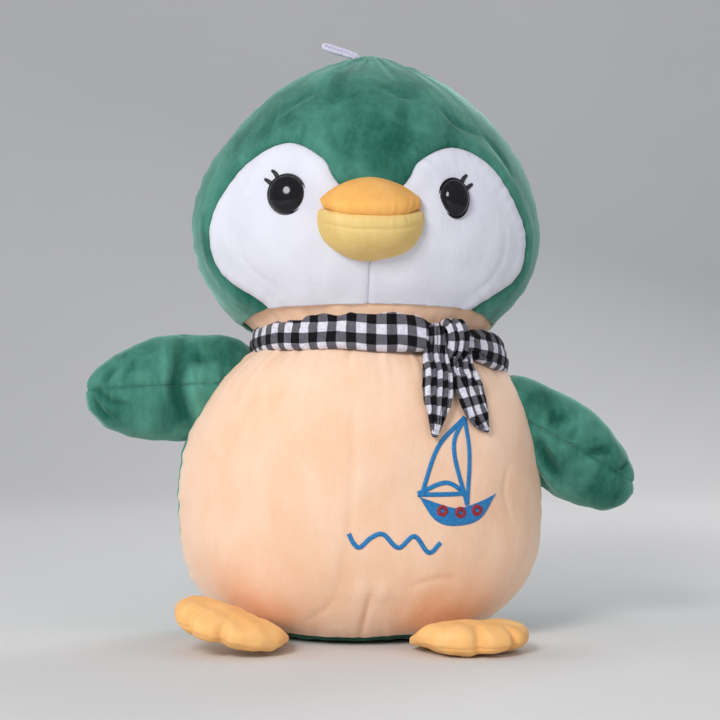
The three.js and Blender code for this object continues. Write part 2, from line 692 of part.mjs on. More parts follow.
function addFoot(side, spot) {
  const group = new THREE.Group();
  group.position.copy(spot.place);
  group.rotation.set(radians(spot.pitch), radians(spot.roll), radians(spot.turn));
  group.updateMatrix();
  const up = new THREE.Vector3(0, 0, 1);
  const torso = torsoOverFoot(group);
  const skin = solidOf(footBody(0)).subtract(solidOf(footBody(FABRIC))).subtract(torso);
  const above = halfSpace(new THREE.Vector3(0, 0, FOOT.seam + GAP / 2), up);
  const below = halfSpace(new THREE.Vector3(0, 0, FOOT.seam - GAP / 2), up.clone().negate());
  add(group, `foot_${side}_top_panel`, skin.intersect(above), fabric(ORANGE));
  add(group, `foot_${side}_sole_panel`, skin.intersect(below), fabric(ORANGE));
  add(group, `foot_${side}_stuffing`, solidOf(footBody(FABRIC + GAP)).subtract(torso), fabric(FILL));
  penguin.add(group);
}

// ---------- Hanging loop ----------

// The cord comes out of the crown, leans over to the left, turns back above itself and goes in again.
const LOOP_ROUTE = [
  [-2.4, -1.6, 381.6], [-3.6, -1.8, 382.6], [-5.6, -2.0, 383.4], [-8.4, -2.1, 384.3], [-11.6, -2.1, 385.3],
  [-15.0, -2.0, 386.3], [-18.4, -1.8, 387.4], [-21.6, -1.3, 388.6], [-23.8, -0.3, 390.0], [-24.0, 0.9, 391.6],
  [-22.2, 1.8, 392.2], [-19.2, 2.1, 391.6], [-15.8, 2.2, 390.5], [-12.4, 2.3, 389.4], [-9.0, 2.3, 388.2],
  [-5.8, 2.2, 387.0], [-3.0, 2.1, 385.4], [-1.4, 2.0, 383.6], [-1.0, 1.9, 381.6],
];

function addLoop() {
  const route = new THREE.CatmullRomCurve3(LOOP_ROUTE.map((p) => new THREE.Vector3(...p)));
  const section = new THREE.Shape();
  section.absarc(0, 0, CORD / 2, 0, 2 * Math.PI);
  const tube = new THREE.ExtrudeGeometry(section, { steps: 16, curveSegments: 4, extrudePath: route });
  add(penguin, "hang_loop", tube, fabric(WHITE));
}

addTorso();
addEmbroidery();
addNeck();
addScarf();
addHead();
addBeak();
addWing("left", WING_LEFT, true);
addWing("right", WING_RIGHT, false);
addFoot("left", FOOT_LEFT);
addFoot("right", FOOT_RIGHT);
addLoop();

export default penguin;
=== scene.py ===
"""The looks of the plush penguin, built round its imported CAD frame.

Shapes are worked out in millimetres and turned into metres when a mesh is made.
Left is the -X side, as seen from in front.
"""
import json
import math

import bmesh
import bpy
import numpy as np
from mathutils import Matrix, Vector
from mathutils.bvhtree import BVHTree


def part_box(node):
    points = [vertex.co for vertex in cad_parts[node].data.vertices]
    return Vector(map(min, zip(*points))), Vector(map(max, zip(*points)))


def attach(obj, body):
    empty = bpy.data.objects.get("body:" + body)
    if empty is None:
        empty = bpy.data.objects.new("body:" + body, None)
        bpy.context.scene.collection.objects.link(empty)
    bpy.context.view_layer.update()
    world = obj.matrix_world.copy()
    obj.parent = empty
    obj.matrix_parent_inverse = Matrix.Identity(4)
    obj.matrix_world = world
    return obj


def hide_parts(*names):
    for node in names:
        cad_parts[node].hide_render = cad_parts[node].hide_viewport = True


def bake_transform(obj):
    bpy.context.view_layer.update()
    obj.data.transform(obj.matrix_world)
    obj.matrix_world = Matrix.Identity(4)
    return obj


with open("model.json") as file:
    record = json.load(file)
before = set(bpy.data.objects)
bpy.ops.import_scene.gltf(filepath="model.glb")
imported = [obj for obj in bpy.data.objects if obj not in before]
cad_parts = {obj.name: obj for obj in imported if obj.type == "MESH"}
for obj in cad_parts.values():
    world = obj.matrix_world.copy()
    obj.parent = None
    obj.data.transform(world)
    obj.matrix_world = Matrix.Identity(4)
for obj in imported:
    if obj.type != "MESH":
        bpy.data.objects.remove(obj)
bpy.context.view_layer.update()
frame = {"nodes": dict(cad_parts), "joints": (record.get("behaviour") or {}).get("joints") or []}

MM = 0.001  # metres in a millimetre


def box_mm(*nodes):
    """The lowest and highest corner round these CAD nodes, in millimetres."""
    lows, highs = zip(*(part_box(node) for node in nodes))
    return np.min(lows, axis=0) / MM, np.max(highs, axis=0) / MM


JOINTS = {joint["name"]: joint for joint in frame["joints"]}


def pivot_mm(joint):
    return np.array(JOINTS[joint]["pos_m"]) / MM


# ---------- Camera and cord ----------

CAMERA_DISTANCE = 1.5
CAMERA_HEIGHT = 0.208
CAMERA_TARGET = 0.182  # height that the middle of the picture looks at
CAMERA_LENS = 112.5  # on a 36 mm sensor


def make_camera():
    data = bpy.data.cameras.new("camera")
    data.lens = CAMERA_LENS
    data.sensor_width = 36
    camera = bpy.data.objects.new("camera", data)
    camera.location = (0, -CAMERA_DISTANCE, CAMERA_HEIGHT)
    tilt = math.atan2(CAMERA_HEIGHT - CAMERA_TARGET, CAMERA_DISTANCE)
    camera.rotation_euler = (math.pi / 2 - tilt, 0, 0)
    bpy.context.scene.collection.objects.link(camera)
    bpy.context.scene.camera = camera


make_camera()

# The hanging loop's route, as its CAD solid lies: out of the crown, over to the left, and back above itself.
LOOP_ROUTE = np.array([
    [-2.4, -1.6, 381.6], [-3.6, -1.8, 382.6], [-5.6, -2.0, 383.4], [-8.4, -2.1, 384.3],
    [-11.6, -2.1, 385.3], [-15.0, -2.0, 386.3], [-18.4, -1.8, 387.4], [-21.6, -1.3, 388.6],
    [-23.6, -0.3, 389.8], [-23.8, 0.8, 391.0], [-22.2, 1.6, 391.4], [-19.2, 1.8, 390.6],
    [-15.8, 1.8, 389.5], [-12.4, 1.8, 388.4], [-9.0, 1.8, 387.3], [-5.8, 1.8, 386.1],
    [-3.0, 1.8, 384.9], [-1.4, 1.8, 383.4], [-1.0, 1.8, 381.6],
])
LOOP_DIAMETER = 3.3


# ---------- Small mathematics ----------


def unit(vectors):
    vectors = np.asarray(vectors, float)
    return vectors / np.linalg.norm(vectors, axis=-1, keepdims=True)


def turned_by(pitch=0, roll=0, turn=0):
    """A rotation in degrees: about Z first, then Y, then X."""
    angles = ((pitch, "X"), (roll, "Y"), (turn, "Z"))
    x, y, z = (Matrix.Rotation(math.radians(angle), 3, axis) for angle, axis in angles)
    return np.array(x @ y @ z)


def smooth_step(values, low, high):
    t = np.clip((values - low) / (high - low), 0, 1)
    return t * t * (3 - 2 * t)


def smooth_path(points, count):
    """A Catmull-Rom line through points, in count steps."""
    points = np.asarray(points, float)
    ends = np.vstack([2 * points[0] - points[1], points, 2 * points[-1] - points[-2]])
    spans = len(points) - 1
    result = []
    for i in range(count + 1):
        at = min(i / count * spans, spans - 1e-9)
        k = int(at)
        t = at - k
        p0, p1, p2, p3 = ends[k:k + 4]
        result.append(0.5 * (2 * p1 + (p2 - p0) * t + (2 * p0 - 5 * p1 + 4 * p2 - p3) * t**2
                             + (3 * p1 - p0 - 3 * p2 + p3) * t**3))
    return np.array(result)


def evenly(path, step):
    """The same path with points step apart, and how far along each one is."""
    lengths = np.concatenate([[0], np.cumsum(np.linalg.norm(np.diff(path, axis=0), axis=1))])
    count = max(2, int(round(lengths[-1] / step)))
    along = np.linspace(0, lengths[-1], count + 1)
    return np.column_stack([np.interp(along, lengths, column) for column in path.T]), along


def near(points, path):
    """Each point's distance to a path, and how far along the path its nearest place is."""
    best = np.full(len(points), np.inf)
    along = np.zeros(len(points))
    start = 0.0
    for a, b in zip(path[:-1], path[1:]):
        step = b - a
        length = np.linalg.norm(step)
        t = np.clip((points - a) @ step / length**2, 0, 1)
        distance = np.linalg.norm(points - a - t[:, None] * step, axis=1)
        closer = distance < best
        best[closer] = distance[closer]
        along[closer] = start + t[closer] * length
        start += length
    return best, along


def lumps(points, size, seed, count=8):
    """A smooth random field over points, mostly from -1 to 1, with features of about that size."""
    random = np.random.default_rng(seed)
    directions = unit(random.normal(size=(count, 3)))
    turns = 2 * math.pi / size * random.uniform(0.55, 1.3, count)
    phases = random.uniform(0, 2 * math.pi, count)
    total = sum(np.sin(points @ d * k + p) for d, k, p in zip(directions, turns, phases))
    return total / math.sqrt(count)


def wobble(values, size, seed):
    """The same along a line."""
    return lumps(np.column_stack([values, 0 * values, 0 * values]), size * 0.6, seed)


def inside_outline(points, outline):
    """Signed distance in a plane to a closed outline, positive inside."""
    path = np.vstack([outline, outline[:1]])
    distance, _ = near(points, path)
    x, z = points.T
    odd = np.zeros(len(points), bool)
    for (ax, az), (bx, bz) in zip(path[:-1], path[1:]):
        if az == bz:
            continue
        crosses = (az > z) != (bz > z)
        odd ^= crosses & (x < (bx - ax) * (z - az) / (bz - az) + ax)
    return np.where(odd, distance, -distance)


# ---------- Skins: triangle meshes as arrays ----------


class Skin:
    """Triangles over rows of named values: "rest" and "normal" are the shape before it is creased."""

    def __init__(self, faces, **values):
        self.faces = faces
        self.values = values

    def cut(self, name, side=1):
        """The part where a value, times side, is positive, with a clean edge along its zero line."""
        field = side * self.values[name]
        field = np.where(np.abs(field) < 1e-5, 1e-5, field)
        above = field > 0
        count = above[self.faces].sum(axis=1)
        lone_first = []
        for wanted in (1, 2):
            triangles = self.faces[count == wanted]
            lone = above[triangles] == (wanted == 1)
            turn = (lone.argmax(axis=1)[:, None] + np.arange(3)) % 3
            lone_first.append(np.take_along_axis(triangles, turn, axis=1))
        edges = np.vstack([part[:, pair] for part in lone_first for pair in ([0, 1], [0, 2])])
        unique, inverse = np.unique(np.sort(edges, axis=1), axis=0, return_inverse=True)
        inverse = inverse.reshape(-1) + len(field)
        a, b = unique.T
        t = field[a] / (field[a] - field[b])
        values = {}
        for key, rows in self.values.items():
            weight = t if rows.ndim == 1 else t[:, None]
            values[key] = np.concatenate([rows, rows[a] * (1 - weight) + rows[b] * weight])
        one, two = (len(part) for part in lone_first)
        p1, q1 = inverse[:one], inverse[one:2 * one]
        p2, q2 = inverse[2 * one:2 * one + two], inverse[2 * one + two:]
        faces = np.vstack([
            self.faces[count == 3],
            np.column_stack([lone_first[0][:, 0], p1, q1]),
            np.column_stack([p2, lone_first[1][:, 1], lone_first[1][:, 2]]),
            np.column_stack([p2, lone_first[1][:, 2], q2]),
        ])
        used, faces = np.unique(faces, return_inverse=True)
        return Skin(faces.reshape(-1, 3), **{key: rows[used] for key, rows in values.items()})


def geodesic(count):
    """Unit directions and triangles: an icosahedron with each edge in count steps."""
    ball = bmesh.new()
    bmesh.ops.create_icosphere(ball, subdivisions=1, radius=1)
    corners = np.array([vert.co for vert in ball.verts])
    triangles = [[vert.index for vert in face.verts] for face in ball.faces]
    ball.free()
    i, j = np.array([(i, j) for i in range(count + 1) for j in range(count + 1 - i)]).T
    index = {pair: k for k, pair in enumerate(zip(i.tolist(), j.tolist()))}
    cells = []
    for (u, v) in index:
        if u + v < count:
            cells.append([index[u, v], index[u + 1, v], index[u, v + 1]])
        if u + v < count - 1:
            cells.append([index[u + 1, v], index[u + 1, v + 1], index[u, v + 1]])
    cells = np.array(cells)
    points = []
    faces = []
    for a, b, c in corners[triangles]:
        faces.append(cells + len(points) * len(i))
        points.append(a + np.outer(i, b - a) / count + np.outer(j, c - a) / count)
    points = np.vstack(points)
    _, first, inverse = np.unique(np.round(points, 6), axis=0, return_index=True, return_inverse=True)
    return unit(points[first]), inverse.reshape(-1)[np.vstack(faces)]


def normals_of(points, faces):
    a, b, c = (points[faces[:, k]] for k in range(3))
    area = np.cross(b - a, c - a)
    total = np.zeros_like(points)
    for k in range(3):
        for axis in range(3):
            total[:, axis] += np.bincount(faces[:, k], area[:, axis], minlength=len(points))
    return unit(total + 1e-12)


def thickened(points, faces, thickness):
    """A sheet as a closed layer, with its second side thickness below the first."""
    count = len(points)
    below = points - normals_of(points, faces) * thickness
    edges = np.vstack([faces[:, [0, 1]], faces[:, [1, 2]], faces[:, [2, 0]]]).astype(np.int64)
    ahead = edges[:, 0] * count + edges[:, 1]
    back = edges[:, 1] * count + edges[:, 0]
    a, b = edges[~np.isin(ahead, back)].T
    walls = np.vstack([np.column_stack([b, a, a + count]), np.column_stack([b, a + count, b + count])])
    return np.vstack([points, below]), np.vstack([faces, faces[:, ::-1] + count, walls])


def grid_faces(rows, columns, wrap_rows=False, wrap_columns=False):
    """Triangles over a grid of points, row after row."""
    faces = []
    for i in range(rows if wrap_rows else rows - 1):
        for j in range(columns if wrap_columns else columns - 1):
            a = i * columns + j
            b = i * columns + (j + 1) % columns
            c = ((i + 1) % rows) * columns + (j + 1) % columns
            d = ((i + 1) % rows) * columns + j
            faces += [[a, b, c], [a, c, d]]
    return np.array(faces)


def closed_tube(rings, sides):
    """Triangles of a tube of rings, whose two end middles come after all the rings' points."""
    count = rings * sides
    last = count - sides
    ends = [[count, (k + 1) % sides, k] for k in range(sides)]
    ends += [[count + 1, last + k, last + (k + 1) % sides] for k in range(sides)]
    return np.vstack([grid_faces(rings, sides, wrap_columns=True), ends])


def make_object(name, points, faces, material, uv=None, tone=None):
    """A smooth-shaded mesh object from millimetres.

    uv holds a pair of millimetres for each point, and tone its painted light: painted highlight that turns
    the pile pale, and painted shade that turns it deep.
    """
    mesh = bpy.data.meshes.new(name)
    mesh.from_pydata((np.asarray(points) * MM).tolist(), [], np.asarray(faces).tolist())
    if uv is not None:
        layer = mesh.uv_layers.new(name="UVMap")
        corners = np.zeros(len(mesh.loops), np.int32)
        mesh.loops.foreach_get("vertex_index", corners)
        layer.data.foreach_set("uv", (np.asarray(uv)[corners] * MM).astype(np.float32).reshape(-1))
    if tone is not None:
        layer = mesh.attributes.new("tone", "FLOAT", "POINT")
        layer.data.foreach_set("value", np.asarray(tone, np.float32))
    mesh.shade_smooth()
    mesh.materials.append(material)
    piece = bpy.data.objects.new(name, mesh)
    bpy.context.scene.collection.objects.link(piece)
    return piece


def stand_for(node):
    """The piece takes the place of a CAD node, which is hidden."""
    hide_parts(node)


def settle(piece, body, node):
    """The piece takes the place of a CAD node and rides on a body."""
    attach(piece, body)
    stand_for(node)


def bend(piece):
    """The piece's transform is baked into its mesh."""
    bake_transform(piece)


def sew(name, panel, points, material, body, node, tone=None):
    """A padded panel of cloth, with its points pushed into shape, that rides on one body."""
    piece = make_object(name, *thickened(points, panel.faces, SKIN), material, tone=tone)
    settle(piece, body, node)


# ---------- Stuffed forms ----------

SKIN = 1.8  # thickness of the cloth with its pile


class Form:
    """A superellipsoid with its own depth in front and behind, and a top that leans to +X."""

    def __init__(self, middle, half_width, front, back, up, down,
                 side_power, depth_power, lower_power, lean=0):
        self.middle = np.array(middle, float)
        self.half_width, self.front, self.back = half_width, front, back
        self.up, self.down, self.lean = up, down, lean
        self.side_power, self.depth_power, self.lower_power = side_power, depth_power, lower_power

    def level(self, z):
        """Half-width, share of the full depth, and sideways shift at heights above the widest level."""
        upper = z >= 0
        t = np.minimum(np.abs(z) / np.where(upper, self.up, self.down), 1 - 1e-9)
        side_power = np.where(upper, self.side_power, self.lower_power)
        depth_power = np.where(upper, self.depth_power, self.lower_power)
        side = (1 - t**side_power) ** (1 / side_power)
        depth = (1 - t**depth_power) ** (1 / depth_power)
        return self.half_width * side, depth, np.where(upper, self.lean * t * t, 0)

    def reach(self, points):
        """How far out points lie: 1 on the surface, less inside."""
        x, y, z = (points - self.middle).T
        half_width, depth, shift = self.level(z)
        deep = np.where(y < 0, self.front, self.back) * depth
        value = ((x - shift) / half_width) ** 2 + (y / deep) ** 2
        return np.where((z > self.up) | (z < -self.down), 9.0, value)

    def surface(self, directions):
        x, y, z = directions.T
        rays = np.column_stack([
            x * self.half_width,
            y * np.where(y < 0, self.front, self.back),
            z * np.where(z < 0, self.down, self.up),
        ])
        low = np.full(len(rays), 0.2)
        high = np.full(len(rays), 1.8)
        for _ in range(40):
            half = (low + high) / 2
            inside = self.reach(self.middle + rays * half[:, None]) < 1
            low = np.where(inside, half, low)
            high = np.where(inside, high, half)
        return self.middle + rays * low[:, None]

    def front_at(self, outline):
        """The points of the front at the [x, z] pairs of an outline."""
        x, z = np.asarray(outline, float).T
        half_width, depth, shift = self.level(z - self.middle[2])
        across = np.clip(1 - ((x - self.middle[0] - shift) / half_width) ** 2, 0, 1)
        return np.column_stack([x, self.middle[1] - self.front * depth * np.sqrt(across), z])

    def skin(self, count):
        directions, faces = geodesic(count)
        points = self.surface(directions)
        return Skin(faces, rest=points, normal=normals_of(points, faces))


def groove(distance, depth, width):
    """A sewn seam draws the cloth in along its line."""
    return -depth * np.exp(-np.abs(distance) / width)


def crease(points, path, depth, width):
    """A soft valley along a path, which fades at its ends; with a negative depth, a ridge."""
    distance, along = near(points, path)
    total = np.linalg.norm(np.diff(path, axis=0), axis=1).sum()
    fade = np.sin(np.pi * np.clip(along / total, 0.02, 0.98)) ** 0.6
    return -depth * fade * np.exp(-((distance / width) ** 2))


def gathers(distance, along, pitch, depth, reach, seed):
    """Small folds that stand across a seam where the cloth is drawn together."""
    away = np.abs(distance)
    return depth * wobble(along, pitch, seed) * np.exp(-away / reach) * (1 - np.exp(-away / 1.5))


# ---------- Materials ----------


def new_material(name, **constants):
    """A material, its nodes, its shader with constants on its sockets, and the place on the object."""
    material = bpy.data.materials.new(name)
    material.use_nodes = True
    tree = material.node_tree
    shader = next(node for node in tree.nodes if node.type == "BSDF_PRINCIPLED")
    for socket, value in constants.items():
        shader.inputs[socket.replace("_", " ")].default_value = value
    return material, tree, shader, tree.nodes.new("ShaderNodeTexCoord").outputs["Object"]


def add_node(tree, kind, settings=None, **inputs):
    """A node with its settings, and its inputs as values or as the sockets that feed them."""
    node = tree.nodes.new(kind)
    for key, value in (settings or {}).items():
        setattr(node, key, value)
    for key, value in inputs.items():
        socket = node.inputs[int(key[1:])] if key[0] == "_" else node.inputs[key.replace("_", " ")]
        if isinstance(value, bpy.types.NodeSocket):
            tree.links.new(value, socket)
        else:
            socket.default_value = value
    return node


def math_node(tree, operation, a, b=0.0):
    return add_node(tree, "ShaderNodeMath", {"operation": operation}, _0=a, _1=b).outputs[0]


def noise(tree, vector, scale, detail=2.0, distortion=0.0):
    values = {"Vector": vector, "Scale": scale, "Detail": detail, "Distortion": distortion}
    return add_node(tree, "ShaderNodeTexNoise", None, **values).outputs["Fac"]


def spread_out(tree, value, low, high):
    """The value with its range from low to high stretched to 0 to 1."""
    node = add_node(tree, "ShaderNodeMapRange", None, Value=value)
    node.inputs["From Min"].default_value = low
    node.inputs["From Max"].default_value = high
    return node.outputs[0]


def mixed(tree, factor, a, b):
    node = add_node(tree, "ShaderNodeMix", {"data_type": "RGBA"})
    for socket, value in ((node.inputs[0], factor), (node.inputs[6], a), (node.inputs[7], b)):
        if isinstance(value, bpy.types.NodeSocket):
            tree.links.new(value, socket)
        elif socket.type == "RGBA":
            socket.default_value = (*value, 1.0)
        else:
            socket.default_value = value
    return node.outputs[2]


def bump(tree, shader, height, strength, distance):
    node = add_node(tree, "ShaderNodeBump", None, Height=height, Strength=strength, Distance=distance)
    tree.links.new(node.outputs[0], shader.inputs["Normal"])


def velboa(name, deep, pale, sheen, sheen_tint, patches=0.5, speckle=0.35):
    """Short-pile plush: fine speckle, nap patches, a sheen where the pile is seen from the side, and painted
    light from the mesh's tone: painted shade in folds, painted highlight on ridges and painted sheen where
    the cloth turns from the front.
    """
    material, tree, shader, place = new_material(
        name, Roughness=0.9, Specular_IOR_Level=0.2, Sheen_Weight=sheen, Sheen_Roughness=0.36,
        Sheen_Tint=(*sheen_tint, 1.0))
    lie = add_node(tree, "ShaderNodeMapping", None, Vector=place, Scale=(1.0, 1.0, 0.45)).outputs[0]
    nap_and_painted_light = spread_out(tree, noise(tree, lie, 42, 4.0, 0.6), 0.38, 0.66)
    streaks = spread_out(tree, noise(tree, lie, 260, 3.0, 0.3), 0.3, 0.7)
    pile = noise(tree, place, 1500, 2.0)
    grain = spread_out(tree, pile, 0.3, 0.7)
    soft = math_node(tree, "MULTIPLY", nap_and_painted_light, patches)
    fine = math_node(tree, "MULTIPLY", math_node(tree, "MULTIPLY", streaks, grain), speckle)
    # The tone attribute is painted light: painted shade in folds and seams, painted highlight on ridges, and
    # painted sheen where the cloth turns from the front.
    tone = add_node(tree, "ShaderNodeAttribute", {"attribute_name": "tone"}).outputs["Fac"]
    share = math_node(tree, "ADD", math_node(tree, "ADD", soft, fine), tone)
    tree.links.new(mixed(tree, share, deep, pale), shader.inputs["Base Color"])
    height = math_node(tree, "ADD", pile, math_node(tree, "MULTIPLY", streaks, 0.6))
    bump(tree, shader, height, 0.35, 0.0006)
    return material


def thread(name, colour, shade):
    """Shiny embroidery thread."""
    material, tree, shader, place = new_material(name, Roughness=0.42, Sheen_Weight=0.25)
    tone = spread_out(tree, noise(tree, place, 900, 3.0), 0.35, 0.65)
    tree.links.new(mixed(tree, tone, shade, colour), shader.inputs["Base Color"])
    bump(tree, shader, noise(tree, place, 3000, 2.0), 0.3, 0.0003)
    return material


GINGHAM_CHECK = 6.35  # a quarter of an inch
WEAVE = 0.55  # width of one thread


def gingham(name):
    """Plain-woven gingham: dark and white bands both ways, so that squares are dark, mixed or white."""
    material, tree, shader, place = new_material(
        name, Roughness=0.88, Specular_IOR_Level=0.12, Sheen_Weight=0.03)
    flat = add_node(tree, "ShaderNodeUVMap", {"uv_map": "UVMap"}).outputs[0]
    axes = add_node(tree, "ShaderNodeSeparateXYZ", None, Vector=flat).outputs
    drift = math_node(tree, "SUBTRACT", noise(tree, place, 120, 2.0), 0.5)
    waver = math_node(tree, "MULTIPLY", drift, 0.0012)
    bands = []
    threads = []
    for axis in (axes[0], axes[1]):
        moved = math_node(tree, "ADD", axis, waver)
        turns = math_node(tree, "FRACT", math_node(tree, "DIVIDE", moved, 2 * GINGHAM_CHECK * MM))
        bands.append(math_node(tree, "GREATER_THAN", turns, 0.5))
        threads.append(math_node(tree, "DIVIDE", axis, WEAVE * MM))
    cells = math_node(tree, "ADD", *(math_node(tree, "FLOOR", value) for value in threads))
    parity = math_node(tree, "FRACT", math_node(tree, "DIVIDE", cells, 2))
    over = math_node(tree, "GREATER_THAN", parity, 0.25)
    dark = mixed(tree, over, bands[0], bands[1])
    fuzz = spread_out(tree, noise(tree, place, 700, 3.0), 0.3, 0.7)
    white = mixed(tree, fuzz, (0.55, 0.54, 0.62), (0.84, 0.83, 0.92))
    black = mixed(tree, fuzz, (0.002, 0.002, 0.003), (0.011, 0.01, 0.013))
    # Where one way is dark, its threads shade the white ones that they cross.
    shaded = mixed(tree, fuzz, (0.17, 0.165, 0.2), (0.3, 0.29, 0.34))
    light = mixed(tree, math_node(tree, "MAXIMUM", *bands), white, shaded)
    tree.links.new(mixed(tree, dark, light, black), shader.inputs["Base Color"])
    waves = [math_node(tree, "SINE", math_node(tree, "MULTIPLY", value, math.pi)) for value in threads]
    height = math_node(tree, "MULTIPLY", *(math_node(tree, "ABSOLUTE", wave) for wave in waves))
    bump(tree, shader, math_node(tree, "ADD", height, fuzz), 0.4, 0.0004)
    return material


def glossy(name, colour, roughness):
    material, tree, shader, place = new_material(
        name, Roughness=roughness, Specular_IOR_Level=0.05, Coat_Weight=0.5, Coat_Roughness=0.1)
    tone = spread_out(tree, noise(tree, place, 300, 3.0), 0.3, 0.7)
    tree.links.new(mixed(tree, tone, colour, tuple(1.6 * c for c in colour)), shader.inputs["Base Color"])
    return material


GREEN = velboa("green_velboa", (0.008, 0.09, 0.062), (0.13, 0.4, 0.31), 0.7, (0.6, 0.88, 0.8), 0.34, 0.25)
DARK_GREEN = velboa("dark_green_velboa", (0.012, 0.07, 0.05), (0.03, 0.13, 0.09), 0.2, (0.4, 0.7, 0.6))
PEACH = velboa("peach_velboa", (0.87, 0.55, 0.36), (0.97, 0.78, 0.65), 0.2, (1.0, 0.92, 0.88), 0.22, 0.2)
WHITE = velboa("white_velboa", (0.66, 0.66, 0.73), (0.76, 0.76, 0.83), 0.12, (0.95, 0.95, 1.0), 0.4, 0.3)
ORANGE = velboa("orange_velboa", (0.92, 0.48, 0.16), (0.98, 0.63, 0.28), 0.2, (1.0, 0.85, 0.6))
BEAK_ORANGE = velboa("beak_orange_velboa", (0.84, 0.4, 0.09), (0.93, 0.53, 0.18), 0.15, (1.0, 0.8, 0.5))
BEAK_YELLOW = velboa("beak_yellow_velboa", (0.72, 0.5, 0.17), (0.86, 0.66, 0.3), 0.15, (1.0, 0.9, 0.6))
GINGHAM = gingham("gingham_cotton")
BLUE = thread("blue_thread", (0.004, 0.24, 0.55), (0.002, 0.12, 0.36))
RED = thread("red_thread", (0.42, 0.01, 0.03), (0.2, 0.004, 0.015))
BLACK_THREAD = thread("black_thread", (0.02, 0.02, 0.024), (0.004, 0.004, 0.005))
EYE_BLACK = glossy("eye_plastic", (0.006, 0.006, 0.008), 0.12)
LOOP_CORD = velboa("loop_cord", (0.5, 0.47, 0.6), (0.85, 0.83, 0.95), 0.3, (0.95, 0.95, 1.0), 0.3, 0.7)
FILL = velboa("polyester_fill", (0.8, 0.8, 0.8), (0.95, 0.95, 0.94), 0.2, (1, 1, 1))
WASHER_PLASTIC = glossy("washer_plastic", (0.5, 0.5, 0.48), 0.35)


def make_loop():
    """The cord of the hanging loop: three twisted strands with a fuzzy surface."""
    path, along = evenly(smooth_path(LOOP_ROUTE, 200), 0.35)
    tangents = unit(np.gradient(path, axis=0))
    side = unit(np.cross(tangents, np.cross(tangents, [0.2, 0.1, 1.0])))
    other = np.cross(tangents, side)
    sides = 20
    points = []
    for p, t, s, o in zip(path, along, side, other):
        for k in range(sides):
            a = 2 * math.pi * k / sides
            radius = LOOP_DIAMETER / 2 * (0.88 + 0.12 * math.cos(3 * (a - t * 1.1)))
            points.append(p + radius * (math.cos(a) * s + math.sin(a) * o))
    points = np.array(points)
    points += 0.12 * lumps(points, 1.1, 5)[:, None] * unit(points - np.repeat(path, sides, axis=0))
    points = np.vstack([points, path[0], path[-1]])
    piece = make_object("hanging_cord", points, closed_tube(len(path), sides), LOOP_CORD)
    settle(piece, "loop", "hang_loop")


make_loop()


# ---------- Torso ----------

TORSO_LEVEL = 85  # height of the torso's widest level
BASE_DEPTH = 91  # from the torso's widest level down to the floor
BASE_RIM = 4  # height of the base panel's turned-up rim
SIDE_SEAM_TURN = math.radians(4)
SIDE_SEAM_Y = -4
NECK_LOW = {"x": 8, "z": 190, "tilt": math.radians(4), "half_width": 71, "front": 68, "back": 67}
NECK_HIGH = {"x": 5.5, "z": 206, "tilt": math.radians(8), "half_width": 77, "front": 72, "back": 57}
FLOOR_GAP = 0.4  # lowest height of the torso's cloth

torso_low, torso_high = box_mm("belly_panel", "back_panel_left", "back_panel_right")
TORSO = Form(
    middle=(0, 0, TORSO_LEVEL), half_width=1 - torso_low[0], front=1 - torso_low[1], back=1 + torso_high[1],
    up=120, down=BASE_DEPTH, side_power=2.5, depth_power=3, lower_power=2.6, lean=5)
SIDE_NORMAL = np.array([-math.sin(SIDE_SEAM_TURN), math.cos(SIDE_SEAM_TURN), 0])

DART = TORSO.front_at([[7.5, 38], [5, 28], [2, 16], [-1, 4]])
BELLY_LINES = [TORSO.front_at(smooth_path(line, count)) for count, line in (
    (10, [[-4, 176], [-4.5, 130], [-6, 90], [-10, 55], [-15, 34]]),
    (4, [[-15, 34], [-22, 26], [-34, 17]]),
    (8, [[-84, 150], [-66, 158], [-42, 163], [-14, 161]]),
    (5, [[-98, 120], [-90, 128], [-76, 134]]),
    (5, [[30, 40], [48, 46], [62, 44]]),
    (5, [[96, 118], [92, 100], [97, 80]]),
)]


def neck_plane(points, end, lift=0.0):
    """Height above one of the neck's two planes."""
    return points[:, 2] - (end["z"] + lift - points[:, 1] * math.tan(end["tilt"]))


def torso_push(rest):
    """How far the torso's cloth stands out from its plain form."""
    side = rest @ SIDE_NORMAL - SIDE_SEAM_Y
    rim = rest[:, 2] - BASE_RIM
    push = groove(side, 2.0, 2.4) + groove(rim, 1.6, 2.0)
    behind = smooth_step(rest[:, 1], 0, 10)
    push += groove(rest[:, 0], 1.8, 2.2) * behind
    push += gathers(side, rest[:, 2], 15, 0.8, 9, 11)
    push += gathers(rim, rest[:, 0], 13, 0.6, 8, 12)
    push += crease(rest, DART, 2.6, 2.0)
    ends = rest - DART[0]
    push += 1.5 * np.exp(-((np.abs(ends[:, 0]) - 7) ** 2 / 18 + ends[:, 2] ** 2 / 50)) * (rest[:, 1] < 0)
    for path in BELLY_LINES:
        push += crease(rest, path, 0.7, 2.6)
    around = np.arctan2(rest[:, 1], rest[:, 0])
    below_neck = np.exp(neck_plane(rest, NECK_LOW) / 16)
    push += 1.1 * wobble(around * 100, 17, 13) * below_neck
    return push + 0.9 * lumps(rest, 75, 14) + 0.25 * lumps(rest, 24, 15)


def shaped(skin, push):
    """A skin's points after its cloth has been pushed out along its normals."""
    rest, normal = skin.values["rest"], skin.values["normal"]
    return rest + normal * push(rest)[:, None]


def nap_and_painted_light(skin, push, folds, painted_sheen, base=0.0):
    """Painted light on a skin's pile, inside and out: painted shade deep in folds, painted highlight pale on
    ridges, and painted sheen pale where it turns away from the front.
    """
    amount = push(skin.values["rest"])
    away = 1 - np.abs(skin.values["normal"][:, 1])
    # Painted shade where the cloth is drawn in, painted highlight where it stands out, and painted sheen
    # where its normal turns from the front; base lifts the whole skin paler.
    tone = base + 0.35 * np.tanh(folds * (amount - np.median(amount))) + painted_sheen * away**2
    return np.tile(tone, 2)


